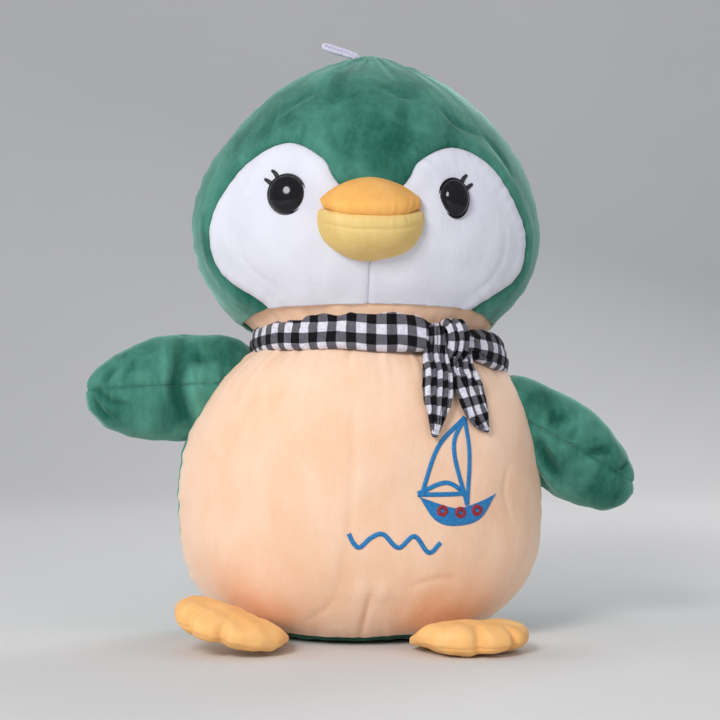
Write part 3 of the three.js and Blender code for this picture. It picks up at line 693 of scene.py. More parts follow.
def make_torso():
    skin = TORSO.skin(88)
    rest = skin.values["rest"]
    skin.values["above_base"] = rest[:, 2] - BASE_RIM
    skin.values["behind"] = rest @ SIDE_NORMAL - SIDE_SEAM_Y
    skin.values["right"] = rest[:, 0]
    skin.values["below_neck"] = -neck_plane(rest, NECK_LOW)
    wall = skin.cut("below_neck").cut("above_base")
    back = wall.cut("behind")
    panels = {
        "belly_skin": (wall.cut("behind", -1), PEACH, "belly_panel"),
        "back_skin_left": (back.cut("right", -1), GREEN, "back_panel_left"),
        "back_skin_right": (back.cut("right"), GREEN, "back_panel_right"),
        "base_skin": (skin.cut("above_base", -1), DARK_GREEN, "base_panel"),
    }
    for name, (panel, material, node) in panels.items():
        points = shaped(panel, torso_push)
        over = points[:, 2] - FLOOR_GAP - 3
        points[:, 2] = np.where(over < 0, FLOOR_GAP + 3 * np.exp(over / 3), points[:, 2])
        # The torso's tone is painted light: painted shade in folds and seams, painted highlight on puffs,
        # and painted sheen where the cloth turns from the front.
        tone = nap_and_painted_light(panel, torso_push, 0.25, 0.5)
        sew(name, panel, points, material, "torso", node, tone)
        if name == "belly_skin":
            belly = BVHTree.FromPolygons(points.tolist(), panel.faces.tolist())
    return belly


BELLY = make_torso()


def on_front(tree, outline, lift=0.0):
    """Points and normals on a surface, straight behind the [x, z] pairs of an outline."""
    points = []
    normals = []
    for x, z in outline:
        place, normal, _, _ = tree.ray_cast(Vector((x, -300, z)), Vector((0, 1, 0)))
        if normal.y > 0:
            normal = -normal
        points.append(np.array(place) + lift * np.array(normal))
        normals.append(np.array(normal))
    return np.array(points), np.array(normals)


# ---------- Embroidery ----------

STITCH = 0.8  # from one satin stitch to the next
LINE_WIDTH = 3.2


def satin(name, tree, path, width, material, height=0.9, slant=0.25, closed=False):
    """A line of satin stitches over a surface: width is one number, or one for each point of the path."""
    width = np.broadcast_to(width, len(path)).astype(float)
    table, along = evenly(np.column_stack([path, width]), STITCH / 4)
    place, normal = on_front(tree, table[:, :2])
    ahead = unit(np.gradient(place, axis=0))
    if closed:
        ahead[0] = ahead[-1] = unit(ahead[0] + ahead[-1])
    side = np.cross(ahead, normal)
    across = np.array([-1, -0.86, -0.55, 0, 0.55, 0.86, 1])
    dome = np.array([-0.35, 0.45, 0.85, 1, 0.85, 0.45, -0.35])
    rows = []
    for p, n, s, t, w in zip(place, normal, side, along, table[:, 2]):
        phase = 2 * math.pi * (t + slant * across * w) / STITCH
        ridge = 0.13 * np.cos(phase) * (dome > 0)
        rise = height * (dome + ridge)
        top = p + np.outer(across * w / 2 * (1 + 0.03 * np.cos(phase)), s) + np.outer(rise, n)
        under = p + np.outer([0.7 * w / 2, -0.7 * w / 2], s) - 0.6 * n
        rows.append(np.vstack([top, under]))
    if closed:
        rows = rows[:-1]
    columns = len(rows[0])
    faces = grid_faces(len(rows), columns, wrap_columns=True, wrap_rows=closed)
    if not closed:
        last = (len(rows) - 1) * columns
        caps = [[0, k + 1, k] for k in range(1, columns - 1)]
        caps += [[last, last + k, last + k + 1] for k in range(1, columns - 1)]
        faces = np.vstack([faces, caps])
    return make_object(name, np.vstack(rows), faces[:, ::-1], material)


def join(name, pieces):
    """Several mesh objects as one."""
    bpy.ops.object.select_all(action="DESELECT")
    for piece in pieces:
        piece.select_set(True)
    bpy.context.view_layer.objects.active = pieces[0]
    bpy.ops.object.join()
    pieces[0].name = name
    return pieces[0]


BOAT = {"mast_x": 66, "mast_top": 147, "deck": 98, "keel": 79, "bow_x": 86, "stern_x": 37}
PORTHOLE_RADIUS = 2.4
PORTHOLES = {"left": (51.5, 89), "middle": (63, 87.5), "right": (73.5, 88.5)}
WAVE_CRESTS = [
    [-7, 75.5], [-4, 69.5], [0, 67], [7, 73], [14.5, 75], [24, 66.5], [34, 73.5], [43, 63], [50.5, 69],
]


def boat_lines():
    mast_x, deck, stern_x = BOAT["mast_x"], BOAT["deck"], BOAT["stern_x"]
    head = [mast_x, BOAT["mast_top"]]
    foot = [mast_x + 1.5, deck - 6]
    return {
        "mast": [head, [mast_x + 3, deck + 26], foot],
        "outer_sail": [head, [mast_x - 17, deck + 31], [mast_x - 27, deck + 3]],
        "inner_sail": [head, [mast_x - 7, deck + 30], foot],
        "cabin": [[stern_x - 1, deck + 2], [mast_x - 12, deck + 8.5], [mast_x + 1, deck + 1]],
        "boom": [[stern_x - 1, deck + 1.5], [mast_x - 12, deck + 1.2], [mast_x + 2, deck + 1.5]],
    }


def make_embroidery():
    mast_x, deck, keel = BOAT["mast_x"], BOAT["deck"], BOAT["keel"]
    stern, bow = [BOAT["stern_x"], deck], [BOAT["bow_x"], deck]
    strokes = []
    for name, line in boat_lines().items():
        strokes.append(satin(name, BELLY, smooth_path(line, 30), LINE_WIDTH, BLUE))
    top = smooth_path([stern, [mast_x - 6, deck - 7.5], bow], 40)
    low = [[mast_x - 14, keel + 3], [mast_x - 2, keel], [mast_x + 11, keel + 4]]
    bottom = smooth_path([stern, *low, bow], 40)
    middle = (top + bottom) / 2
    thick = np.maximum(np.linalg.norm(top - bottom, axis=1), 0.5)
    strokes.append(satin("hull", BELLY, middle, thick, BLUE, height=0.7, slant=0.1))
    settle(join("boat_stitches", strokes), "torso", "boat_embroidery")
    wave = satin("wave_stitches", BELLY, smooth_path(WAVE_CRESTS, 80), LINE_WIDTH, BLUE)
    settle(wave, "torso", "wave_embroidery")
    for side, (x, z) in PORTHOLES.items():
        angles = np.linspace(0, 2 * math.pi, 40)
        circle = [x, z] + PORTHOLE_RADIUS * np.column_stack([np.cos(angles), np.sin(angles)])
        ring = satin(f"porthole_ring_{side}", BELLY, circle, 2.9, RED, height=1.6, closed=True)
        settle(ring, "torso", f"porthole_{side}")


make_embroidery()


# ---------- Head ----------

HEAD_UP = 113
HEAD_DOWN = 91
HEAD_TURN = turned_by(roll=1.3, turn=1.5)
head_low, head_high = box_mm("head_front_panel", "head_back_left", "head_back_right")
HEAD_PLACE = np.array([4, 0, 268])
HEAD = Form(
    middle=(0, 0, 0), half_width=(head_high[0] - head_low[0]) / 2 + 1, front=-head_low[1] + 1.5,
    back=head_high[1] + 1.5, up=HEAD_UP, down=HEAD_DOWN, side_power=1.75, depth_power=1.9, lower_power=2)

PATCH_CURVE = [
    [0, 2], [22.5, 28], [31, 42], [53, 52], [78, 41], [97, 15], [103.5, -8], [95, -33], [66, -53], [50, -72],
]
PATCH_STEPS = 46


def to_world(points):
    return points @ HEAD_TURN.T + HEAD_PLACE


def patch_outline():
    """The two face patches together, as [x, z] pairs."""
    right = smooth_path(PATCH_CURVE, PATCH_STEPS)
    left = right[::-1] * [-1, 1]
    return np.vstack([right, left[:-1]])


PATCH = patch_outline()
PATCH_HALVES = PATCH[:PATCH_STEPS + 1], PATCH[PATCH_STEPS + 1:]
PATCH_SEAMS = [HEAD.front_at(half[half[:, 1] > -68]) for half in PATCH_HALVES]
CROWN = np.array([0, 0, HEAD_UP])

HEAD_LINES = [(depth, HEAD.front_at(smooth_path(line, count))) for depth, count, line in (
    (0.5, 8, [[-86, 6], [-84, -12], [-76, -28], [-60, -40], [-46, -50]]),
    (0.5, 8, [[86, 8], [88, -12], [80, -30], [62, -46]]),
    (0.5, 5, [[-70, 26], [-64, 34], [-52, 38]]),
    (0.5, 6, [[30, -60], [52, -54], [72, -42]]),
    (1.1, 5, [[-24, 78], [-26, 60], [-22, 44]]),
    (1.1, 5, [[40, 80], [56, 66], [72, 60]]),
    (1.1, 5, [[6, 90], [18, 84], [34, 84]]),
    (1.1, 5, [[-60, 70], [-46, 80], [-30, 88]]),
    (1.1, 5, [[72, 62], [84, 48], [92, 34]]),
)]


def head_push(rest):
    side = rest[:, 1]
    push = groove(side, 1.5, 2.2)
    push += gathers(side, np.arctan2(rest[:, 2], rest[:, 0]) * 100, 14, 0.7, 9, 21)
    push += groove(rest[:, 0], 1.8, 2.2) * smooth_step(rest[:, 1], 0, 10)
    front = 1 - smooth_step(rest[:, 1], -30, -10)
    for seam in PATCH_SEAMS:
        distance, along = near(rest, seam)
        push += groove(distance, 1.7, 1.8) * front
        push += gathers(distance, along, 12, 0.45, 7, 22) * front
        push += 0.7 * np.exp(-(((distance - 7) / 5) ** 2)) * front
    below_brow = 1 - smooth_step(rest[:, 2], -2, 6)
    push += groove(rest[:, 0], 1.3, 1.4) * front * below_brow
    from_crown = np.linalg.norm(rest - CROWN, axis=1)
    around = np.arctan2(rest[:, 1], rest[:, 0])
    pleats = wobble(around * 40, 26, 23) + 0.6 * wobble(around * 40, 11, 26)
    push += 1.5 * pleats * np.exp(-from_crown / 30) * (1 - np.exp(-from_crown / 8))
    push += 3.5 * np.exp(-from_crown / 10)
    for depth, line in HEAD_LINES:
        push += crease(rest, line, depth, 3.0)
    return push + 0.8 * lumps(rest, 70, 24) + 0.25 * lumps(rest, 25, 25)


def make_head():
    skin = HEAD.skin(88)
    rest = skin.values["rest"]
    lift = 1 - 3.5 * smooth_step(rest[:, 1], -62, -25)
    skin.values["above_neck"] = neck_plane(to_world(rest), NECK_HIGH, lift)
    skin.values["behind"] = rest[:, 1]
    skin.values["right"] = rest[:, 0]
    skin.values["patch"] = np.where(rest[:, 1] < 0, inside_outline(rest[:, [0, 2]], PATCH), -50)
    skin = skin.cut("above_neck")
    back = skin.cut("behind")
    front = skin.cut("behind", -1)
    face = front.cut("patch")
    panels = {
        "head_front_skin": (front.cut("patch", -1), GREEN, "head_front_panel"),
        "head_back_skin_left": (back.cut("right", -1), GREEN, "head_back_left"),
        "head_back_skin_right": (back.cut("right"), GREEN, "head_back_right"),
        "face_skin_left": (face.cut("right", -1), WHITE, "face_patch_left"),
        "face_skin_right": (face.cut("right"), WHITE, "face_patch_right"),
    }
    trees = {}
    for name, (panel, material, node) in panels.items():
        points = to_world(shaped(panel, head_push))
        # The head's tone is painted light: painted shade in folds and seams, painted highlight on puffs, and
        # painted sheen where the cloth turns from the front.
        sew(name, panel, points, material, "head", node, nap_and_painted_light(panel, head_push, 0.2, 0.3))
        trees[name] = BVHTree.FromPolygons(points.tolist(), panel.faces.tolist())
    return trees


HEAD_TREES = make_head()


# ---------- Beak ----------

BEAK_MIDDLE = np.array([0, -91, 3.5])
BEAK_SIZE = np.array([34, 34.5, 26.5])
MOUTH = 1.5  # height of the mouth line above the beak's middle
MOUTH_RISE = 6.5  # how much higher the mouth's corners are
SEAM_BAND = 9  # height of the fuzzy band under the mouth


def mouth_height(rest):
    """Height above the mouth line."""
    x = (rest[:, 0] - BEAK_MIDDLE[0]) / BEAK_SIZE[0]
    return rest[:, 2] - BEAK_MIDDLE[2] - MOUTH - MOUTH_RISE * np.abs(x) ** 3


def beak_push(rest):
    height = mouth_height(rest)
    x = (rest[:, 0] - BEAK_MIDDLE[0]) / BEAK_SIZE[0]
    push = groove(height, 3.0, 2.2)
    push += 1.3 * np.exp(-(((height - 6) / 5) ** 2)) * (height > 0)
    band = height + SEAM_BAND
    push += groove(band, 0.9, 1.2) * (1 - np.abs(x) ** 4)
    corners = smooth_step(np.abs(x), 0.68, 0.95)
    push += corners * np.where(height > 0, -1.3, 0.2) * np.exp(-np.abs(height) / 9)
    push += 0.8 * corners * np.sin(rest[:, 0] * 1.6) * np.exp(-(((height - 4) / 5) ** 2))
    push += gathers(height, rest[:, 0], 6, 0.35, 5, 31)
    return push + 0.5 * lumps(rest, 26, 32)


def make_beak():
    directions, faces = geodesic(44)
    rest = BEAK_MIDDLE + directions * BEAK_SIZE
    skin = Skin(faces, rest=rest, normal=unit(directions / BEAK_SIZE))
    skin.values["outside"] = HEAD.reach(rest) - 0.965
    skin.values["upper"] = mouth_height(rest)
    skin = skin.cut("outside")
    for half, sign, material in (("upper", 1, BEAK_ORANGE), ("lower", -1, BEAK_YELLOW)):
        panel = skin.cut("upper", sign)
        points = to_world(shaped(panel, beak_push))
        sew(f"beak_skin_{half}", panel, points, material, "head", f"beak_{half}_panel")


make_beak()


# ---------- Eyes ----------

EYE_X = 52.4
EYE_Y = -80
EYE_Z = 18.4
EYE_RADIUS = 13.2
EYE_OVAL = {"left": 0.97, "right": 0.8}
LASHES = {
    "upper": [[6.2, 10.4], [7.8, 13.0], [10.2, 15.3]],
    "lower": [[9.8, 6.0], [12.2, 8.0], [14.8, 9.7]],
}


def lathed(profile, sides):
    """A body of revolution about Z from [radius, height] pairs that begin and end on the axis."""
    points = []
    for radius, height in profile[1:-1]:
        for k in range(sides):
            a = 2 * math.pi * k / sides
            points.append([radius * math.cos(a), radius * math.sin(a), height])
    points += [[0, 0, profile[0][1]], [0, 0, profile[-1][1]]]
    return np.array(points), closed_tube(len(profile) - 2, sides)


def eye_profile():
    """From the foot of the eye up over its rim bead and its dome."""
    profile = [[0, -2.5], [EYE_RADIUS - 1, -2.5], [EYE_RADIUS - 0.2, -1.5]]
    for a in np.linspace(-0.3, 0.75, 9) * math.pi:
        profile.append([EYE_RADIUS - 0.6 + 0.6 * math.cos(a), 0.5 + 0.6 * math.sin(a)])
    inner = EYE_RADIUS - 1.2
    profile += [[inner + 0.1, 0.75], [inner - 0.1, 0.7]]
    for a in np.linspace(0.06, 0.5, 22)[:-1] * math.pi:
        profile.append([(inner - 0.1) * math.cos(a) ** 0.9, 0.6 + 6.6 * math.sin(a)])
    profile.append([0, 7.2])
    return profile


def eye_place(side):
    sign = -1 if side == "left" else 1
    middle = to_world(np.array([[sign * EYE_X, EYE_Y, EYE_Z]]))[0]
    places, normals = on_front(HEAD_TREES[f"face_skin_{side}"], [[middle[0], middle[2]]])
    return sign, places[0], normals[0]


def make_eyes():
    for side in ("left", "right"):
        sign, place, normal = eye_place(side)
        points, faces = lathed(eye_profile(), 72)
        points[:, 0] *= EYE_OVAL[side]
        if side == "right":
            squeeze = np.clip(-points[:, 1] / EYE_RADIUS, 0, 1)
            points[:, 0] += 1.2 * squeeze - points[:, 0] * 0.12 * squeeze
        forward = unit(normal + np.array([0, -0.6, 0]))
        across = unit(np.cross([0, 0, 1.0], -forward) * -1)
        upward = np.cross(forward, across)
        turn = np.column_stack([across, upward, forward])
        piece = make_object(f"eye_dome_{side}", place + points @ turn.T, faces, EYE_BLACK)
        settle(piece, "head", f"eye_{side}")
        for name, line in LASHES.items():
            local = [[sign * (EYE_X + x * EYE_OVAL[side]), EYE_Y, EYE_Z + z] for x, z in line]
            path = smooth_path(to_world(np.array(local))[:, [0, 2]], 20)
            taper = 3.3 * (0.55 + 0.45 * np.sin(np.linspace(0.4, 0.95, len(path)) * math.pi))
            lash = satin(f"lash_{side}_{name}", HEAD_TREES[f"face_skin_{side}"], path, taper, BLACK_THREAD)
            settle(lash, "head", f"eyelash_{side}_{name}")


make_eyes()


# ---------- Neck ----------

COLLAR_LEVELS = [  # share of the way up the neck, and how far the cloth stands outside the neck's core
    (-0.5, -5), (-0.25, -1.5), (0, 0.5), (0.3, 1.5), (0.6, 2.5),
    (0.85, 5), (1.0, 7.3), (1.15, 8.2), (1.35, 8),
]
COLLAR_RINGS = {  # where each ring of cloth starts and ends up the neck, and the two bodies that it joins
    "lower": (-0.5, 0.55, "torso", "neck_core", -8, 0),
    "middle": (0.1, 0.75, "neck_core", "collar", -2, 6),
    "upper": (0.3, 1.35, "collar", "head", 2, 14),
}
COLLAR_CLOTH = 1.2  # thickness, where two rings overlap


def neck_ring(share, proud, sides):
    """A ring round the neck: share 0 is the torso's opening, and 1 the head's."""
    angles = np.linspace(0, 2 * math.pi, sides + 1)[:-1]
    size = {key: NECK_LOW[key] + share * (NECK_HIGH[key] - NECK_LOW[key]) for key in NECK_LOW}
    depth = np.where(np.sin(angles) < 0, size["front"] + proud, size["back"] + min(proud, 0.4 * proud))
    y = depth * np.sin(angles)
    x = size["x"] + (size["half_width"] + proud) * np.cos(angles)
    return np.column_stack([x, y, size["z"] - y * math.tan(size["tilt"])])


def make_collar():
    sides = 150
    shares, prouds = np.array(COLLAR_LEVELS).T
    for name, (start, end, below, above, low, high) in COLLAR_RINGS.items():
        steps = np.linspace(start, end, 14)
        tuck = 0 if name == "upper" else 0.6
        points = np.vstack([neck_ring(s, np.interp(s, shares, prouds) - tuck, sides) for s in steps])
        faces = grid_faces(len(steps), sides, wrap_columns=True)
        around = np.arctan2(points[:, 1], points[:, 0]) * 80
        normal = normals_of(points, faces)
        points = points + normal * (0.6 * wobble(around, 14, 41) + 0.4 * lumps(points, 30, 42))[:, None]
        skin = Skin(faces, rest=points, behind=points @ SIDE_NORMAL - SIDE_SEAM_Y)
        for half, side, material in (("front", -1, PEACH), ("back", 1, GREEN)):
            part = skin.cut("behind", side)
            closed = thickened(part.values["rest"], part.faces, COLLAR_CLOTH)
            piece = make_object(f"collar_{name}_{half}", *closed, material)
            stand_for("neck_collar")
            bend(piece)


make_collar()


# ---------- Neckerchief ----------

SCARF = {"x": 13, "z": 189.5, "half_width": 83, "front": 77.5, "back": 77}
SCARF_RISE = 0.16
SCARF_DIP = 0.08
CLOTH = 0.9  # thickness of the cotton
KNOT_ANGLE = math.radians(-57)
PINCH_RIGHT, PINCH_LEFT = 28, 19  # how far from the knot the band is drawn together


def scarf_line(a):
    """The middle of the band at angles a, and its direction out of the neck."""
    depth = np.where(np.sin(a) < 0, SCARF["front"], SCARF["back"])
    x = SCARF["x"] + SCARF["half_width"] * np.cos(a)
    y = depth * np.sin(a)
    z = SCARF["z"] - SCARF_RISE * y - SCARF_DIP * (x - SCARF["x"])
    out = unit(np.column_stack([np.cos(a) / SCARF["half_width"], np.sin(a) / depth, 0 * a]))
    return np.column_stack([x, y, z]), out


def make_band():
    count, rows = 420, 34
    a = KNOT_ANGLE + np.linspace(0, 2 * math.pi, count + 1)[:-1]
    middle, out = scarf_line(a)
    step = np.linalg.norm(np.roll(middle, -1, axis=0) - middle, axis=1)
    along = np.concatenate([[0], np.cumsum(step)[:-1]])
    length = step.sum()
    from_knot = np.minimum(along, length - along)
    to_right = along < length / 2
    pinch = np.exp(-((from_knot / np.where(to_right, PINCH_RIGHT, PINCH_LEFT)) ** 2))
    front = smooth_step(-middle[:, 1], -20, 60)
    half = (11 + 2.2 * front) * (1 - 0.6 * pinch)
    v = np.linspace(-1, 1, rows)
    folds = np.zeros((count, rows))
    for k, (place, size) in enumerate([(-0.55, 0.9), (0.15, 0.7), (0.62, 1.0)]):
        line = place + 0.3 * wobble(along, 120, 51 + k)
        deep = size * (0.45 + 0.55 * wobble(along, 90, 61 + k)) * (1 + 2.4 * pinch)
        folds -= deep[:, None] * np.exp(-(((v - line[:, None]) / 0.13) ** 2))
    curl = -3.4 * np.abs(v) ** 7 + 1.6 * (1 - v**2)
    rise = half[:, None] * v * (1 - 0.03 * np.abs(v) ** 7)
    rise = rise + (0.7 * wobble(along, 60, 71))[:, None]
    proud = curl + folds - 3.5 * pinch[:, None] - 0.15 * rise
    points = middle[:, None, :] + out[:, None, :] * proud[..., None]
    points[..., 2] += rise
    points += 0.35 * lumps(points.reshape(-1, 3), 14, 72).reshape(count, rows, 1) * out[:, None, :]
    points = points.reshape(-1, 3)
    # One column more for the weave, so that it doesn't jump back where the band closes under the knot.
    points = np.vstack([points, points[:rows]])
    u = np.repeat(np.append(along, length), rows)
    spread = np.repeat(np.append(half, half[0]), rows) * np.tile(v, count + 1)
    faces = grid_faces(count + 1, rows)
    closed, all_faces = thickened(points, faces, CLOTH)
    uv = np.column_stack([u, spread + 2.5])
    piece = make_object("scarf_cloth_band", closed, all_faces, GINGHAM, uv=np.vstack([uv, uv]))
    stand_for("scarf_band")
    bend(piece)


def wrapped_strip(name, path, out, half, pleats, pleat_depth, seed, u_start=0.0):
    """A pleated strip of cloth along a path, with its outward direction and half-width at each point."""
    table, along = evenly(np.column_stack([path, out, half]), 0.9)
    middle, outward, half = table[:, :3], unit(table[:, 3:6]), table[:, 6]
    ahead = unit(np.gradient(middle, axis=0))
    side = unit(np.cross(ahead, outward))
    outward = np.cross(side, ahead)
    columns = 31
    w = np.linspace(-1, 1, columns)
    drift = 0.1 * pleat_depth * wobble(along, 50, seed)[:, None]
    wave = np.abs(np.cos(math.pi / 2 * pleats * (w + drift)))
    depth = 1.7 * pleat_depth * (0.85 + 0.15 * wobble(along, 24, seed + 1))[:, None]
    proud = depth * (wave - 0.5) - 3.2 * np.abs(w) ** 6
    spread = half[:, None] * w
    points = middle[:, None, :] + side[:, None, :] * spread[..., None]
    points = (points + outward[:, None, :] * proud[..., None]).reshape(-1, 3)
    faces = grid_faces(len(middle), columns)
    if np.einsum("ij,ij->i", normals_of(points, faces), np.repeat(outward, columns, axis=0)).mean() < 0:
        faces = faces[:, ::-1]
    # The pleats take up cloth, so the weave runs on further across than the strip is wide.
    across = (spread * (1 + 0.4 * pleat_depth)).reshape(-1)
    uv = np.column_stack([across + 3, np.repeat(along + u_start, columns)])
    closed, all_faces = thickened(points, faces, CLOTH)
    return make_object(name, closed, all_faces, GINGHAM, uv=np.vstack([uv, uv])), along[-1]


KNOT = {"deep": 10.5, "tall": 12.5, "half_width": 8.4}  # of the loop of cloth that goes round the band


def make_knot():
    middle, out = scarf_line(np.array([KNOT_ANGLE + 0.03]))
    middle, out = middle[0], out[0]
    turns = np.linspace(-0.9, 0.9, 40) * math.pi
    deep, tall = KNOT["deep"], KNOT["tall"]
    up = np.array([0, 0, 1])
    ring = middle + np.outer(deep * np.cos(turns) - 2, out) + np.outer(tall * np.sin(turns), up)
    facing = np.outer(np.cos(turns), out) + np.outer(np.sin(turns) * deep / tall, up)
    half = KNOT["half_width"] - 0.8 * np.cos(turns) ** 2
    piece, length = wrapped_strip("scarf_knot_wrap", ring, facing, half, 3, 1.6, 81)
    settle(piece, "torso", "scarf_knot")


TAILS = {  # the ends' pleats, how far they stand off, and [height, left edge, right edge] down each one
    "left": (5, 4.0, [
        [198, 43, 48], [193, 40.5, 51.5], [184, 39.5, 54.5], [174, 38, 57], [164, 38, 57.5],
        [154, 39.5, 56], [145, 42, 51], [138, 44, 47.5], [135, 45, 46],
    ]),
    "right": (4, 2.5, [
        [196, 54, 62], [190, 53, 67], [182, 54, 71], [172, 55, 76], [162, 57, 79],
        [152, 61, 81.5], [144, 68, 82], [139, 75.5, 80.5], [137.5, 77, 79],
    ]),
}
TAIL_TOP = 186  # height above which an end leaves the belly for the knot


def make_tails():
    for seed, (side, (pleats, lift, edges)) in enumerate(TAILS.items()):
        z, left, right = smooth_path(edges, 60).T
        outline = np.column_stack([(left + right) / 2, np.minimum(z, TAIL_TOP)])
        place, normal = on_front(BELLY, outline)
        lift = lift + 3.0 * np.sin(np.linspace(0, 1, len(z)) * math.pi) + 8 * smooth_step(z, 176, 196)
        path = place + normal * lift[:, None]
        path[:, 2] += np.maximum(z - TAIL_TOP, 0)
        piece, length = wrapped_strip(f"scarf_cloth_tail_{side}", path, normal, (right - left) / 2 + 0.6,
                                      pleats, 1.9, 91 + 7 * seed, u_start=4.0)
        stand_for(f"scarf_tail_{side}")
        bend(piece)


make_band()
make_knot()
make_tails()


# ---------- Wings ----------

WING = {"reach": 87, "root": 26, "widest": 20, "half_height": 34.5, "half_depth": 25, "seam": 3}
WINGS = {  # above and below are the height's shares over and under the middle
    "left": {"turn": -2, "sign": -1, "above": 1.02, "below": 1.0, "droop": 4},
    "right": {"turn": 28.5, "sign": 1, "above": 0.88, "below": 0.92, "droop": 9},
}
WING_CREASES = {  # on the front, as [along the wing, height], each with its depth (a ridge's is negative)
    "left": [
        ([[19, 38], [21, 20], [25, 4], [23, -8], [19, -24]], 6.5, 4.2),
        ([[-4, 22], [8, 20], [20, 24]], 3.2, 3.4),
        ([[82, 4], [70, -6], [56, -10]], 2.2, 2.4),
        ([[82, -2], [76, -13], [68, -20]], 2.0, 2.2),
        ([[74, 4], [70, 10], [60, 20]], 2.0, 2.4),
        ([[60, 4], [57, 12], [50, 22]], 1.6, 2.4),
        ([[13, 10], [12, -2], [9, -22]], -3.4, 3.6),
    ],
    "right": [
        ([[16, 5], [17, 14], [24, 21]], 4.6, 4.4),
        ([[30, 4], [31, 9], [32, 16]], 2.4, 2.6),
        ([[46, 4], [52, 9], [60, 14]], 4.0, 3.0),
        ([[70, 3], [73, 8], [74, 12]], 2.6, 2.2),
        ([[8, -3], [22, -12], [34, -22]], 5.0, 3.6),
        ([[14, -18], [28, -27], [36, -31]], 3.0, 3.4),
        ([[6, -10], [26, -22], [48, -28]], -3.2, 3.2),
    ],
}


def wing_points(directions, wing):
    """The wing's form along +X from its pivot: widest a little way out, with a rounded tip that droops."""
    x, y, z = directions.T
    outer = x >= 0
    length = np.where(outer, WING["reach"] - WING["widest"], WING["root"] + WING["widest"])
    power = np.where(outer, 2.2, 4.0)
    run = np.abs(x) ** (2 / power)
    around = np.sqrt(np.clip(1 - x**2, 1e-12, 1))
    full = around ** (2 / power)
    drop = np.where(outer, wing["droop"] * run**2, 0)
    height = WING["half_height"] * np.where(z > 0, wing["above"], wing["below"])
    return np.column_stack([
        WING["widest"] + np.sign(x) * length * run,
        WING["half_depth"] * full * y / around,
        height * full * z / around - drop,
    ])


def wing_push(side):
    def push(rest):
        along_seam = rest[:, 2] - WING["seam"] + 0.05 * np.maximum(rest[:, 0] - 40, 0)
        amount = groove(along_seam, 1.5, 1.8)
        amount += gathers(along_seam, rest[:, 0], 12, 0.9, 10, 101 if side == "left" else 102)
        droop = WINGS[side]["droop"]
        from_tip = np.linalg.norm(rest - [WING["reach"], 0, -droop], axis=1)
        around = np.arctan2(rest[:, 2] + droop, rest[:, 1])
        amount += 0.6 * wobble(around * 20, 17, 103) * np.exp(-from_tip / 18) * (1 - np.exp(-from_tip / 4))
        front = rest[:, 1] < 4
        for line, depth, width in WING_CREASES[side]:
            amount += crease(rest[:, [0, 2]], smooth_path(line, 8), depth, width) * front
        amount += ~front * lumps(rest, 30, 105)
        return amount + 0.9 * lumps(rest, 46, 104) + 0.3 * lumps(rest, 17, 106)
    return push


def place_wing(side, points, faces):
    """A wing's points and triangles on its own side of the toy."""
    sign = WINGS[side]["sign"]
    points = points * [sign, 1, 1]
    turn = turned_by(roll=WINGS[side]["turn"])
    return points @ turn.T + pivot_mm(f"wing_{side}_flap"), faces[:, ::sign]


def make_wings():
    directions, faces = geodesic(64)
    directions = directions[:, [2, 0, 1]]
    for side, wing in WINGS.items():
        rest = wing_points(directions, wing)
        skin = Skin(faces, rest=rest, normal=normals_of(rest, faces))
        skin.values["upper"] = rest[:, 2] - WING["seam"]
        for name, half in (("upper", 1), ("lower", -1)):
            panel = skin.cut("upper", half)
            closed = thickened(*place_wing(side, shaped(panel, wing_push(side)), panel.faces), SKIN)
            # The wings' tone is painted light: painted shade in their creases, painted highlight on ridges,
            # painted sheen at their edges, and a paler base all over as painted sheen.
            tone = nap_and_painted_light(panel, wing_push(side), 0.3, 0.4, base=0.1)
            piece = make_object(f"wing_skin_{side}_{name}", *closed, GREEN, tone=tone)
            stand_for(f"wing_{side}_{name}_panel")
            bend(piece)


make_wings()


# ---------- Feet ----------

FOOT = {"half_width": 36.5, "half_length": 38.5, "height": 20.5, "heel_height": 10, "seam": 6}
FOOT_HINGE = np.array([0, 31, 3])  # where the heel bends, in the foot's own frame
FEET = {"left": {"pitch": 7, "roll": 13, "turn": -30}, "right": {"pitch": 0, "roll": 0, "turn": 30}}
TOE_GAPS = (-112, -68)  # directions of the two notches between the toes, in degrees
TOE_NOTCH = 0.12


def foot_points(directions):
    x, y, z = directions.T
    around = np.degrees(np.arctan2(y, x))
    notch = sum(np.exp(-(((around - gap) / 8) ** 2)) for gap in TOE_GAPS)
    across = np.sqrt(np.clip(1 - z**2, 1e-12, 1))
    size = across ** (2 / 2.7) / across * (1 - TOE_NOTCH * notch)
    px = FOOT["half_width"] * x * size
    py = FOOT["half_length"] * y * size
    rise = 0.5 * (1 + np.sign(z) * np.abs(z) ** (2 / 2.7))
    heel = smooth_step(py, -0.1 * FOOT["half_length"], 0.9 * FOOT["half_length"])
    height = FOOT["height"] + (FOOT["heel_height"] - FOOT["height"]) * heel
    return np.column_stack([px, py, rise * height])


def foot_push(rest):
    push = groove(rest[:, 2] - FOOT["seam"], 0.7, 1.4)
    flat = rest[:, :2]
    for gap in TOE_GAPS:
        a = math.radians(gap)
        far = np.array([math.cos(a) * FOOT["half_width"], math.sin(a) * FOOT["half_length"]])
        line = np.outer([1.25, 0.95, 0.7], far)
        push += crease(flat, line, 1.4, 2.8) * smooth_step(rest[:, 2], 1, 6)
    top = smooth_step(rest[:, 2], 9, 15)
    push += crease(flat, np.array([[12, 14], [9, 4], [2, -6]]), 1.2, 2.0) * top
    return push + 0.9 * lumps(rest, 26, 111) + 0.3 * lumps(rest, 12, 112)


def place_foot(side, points):
    """A foot's points at its place under the torso."""
    return (points - FOOT_HINGE) @ turned_by(**FEET[side]).T + pivot_mm(f"foot_{side}_flex")


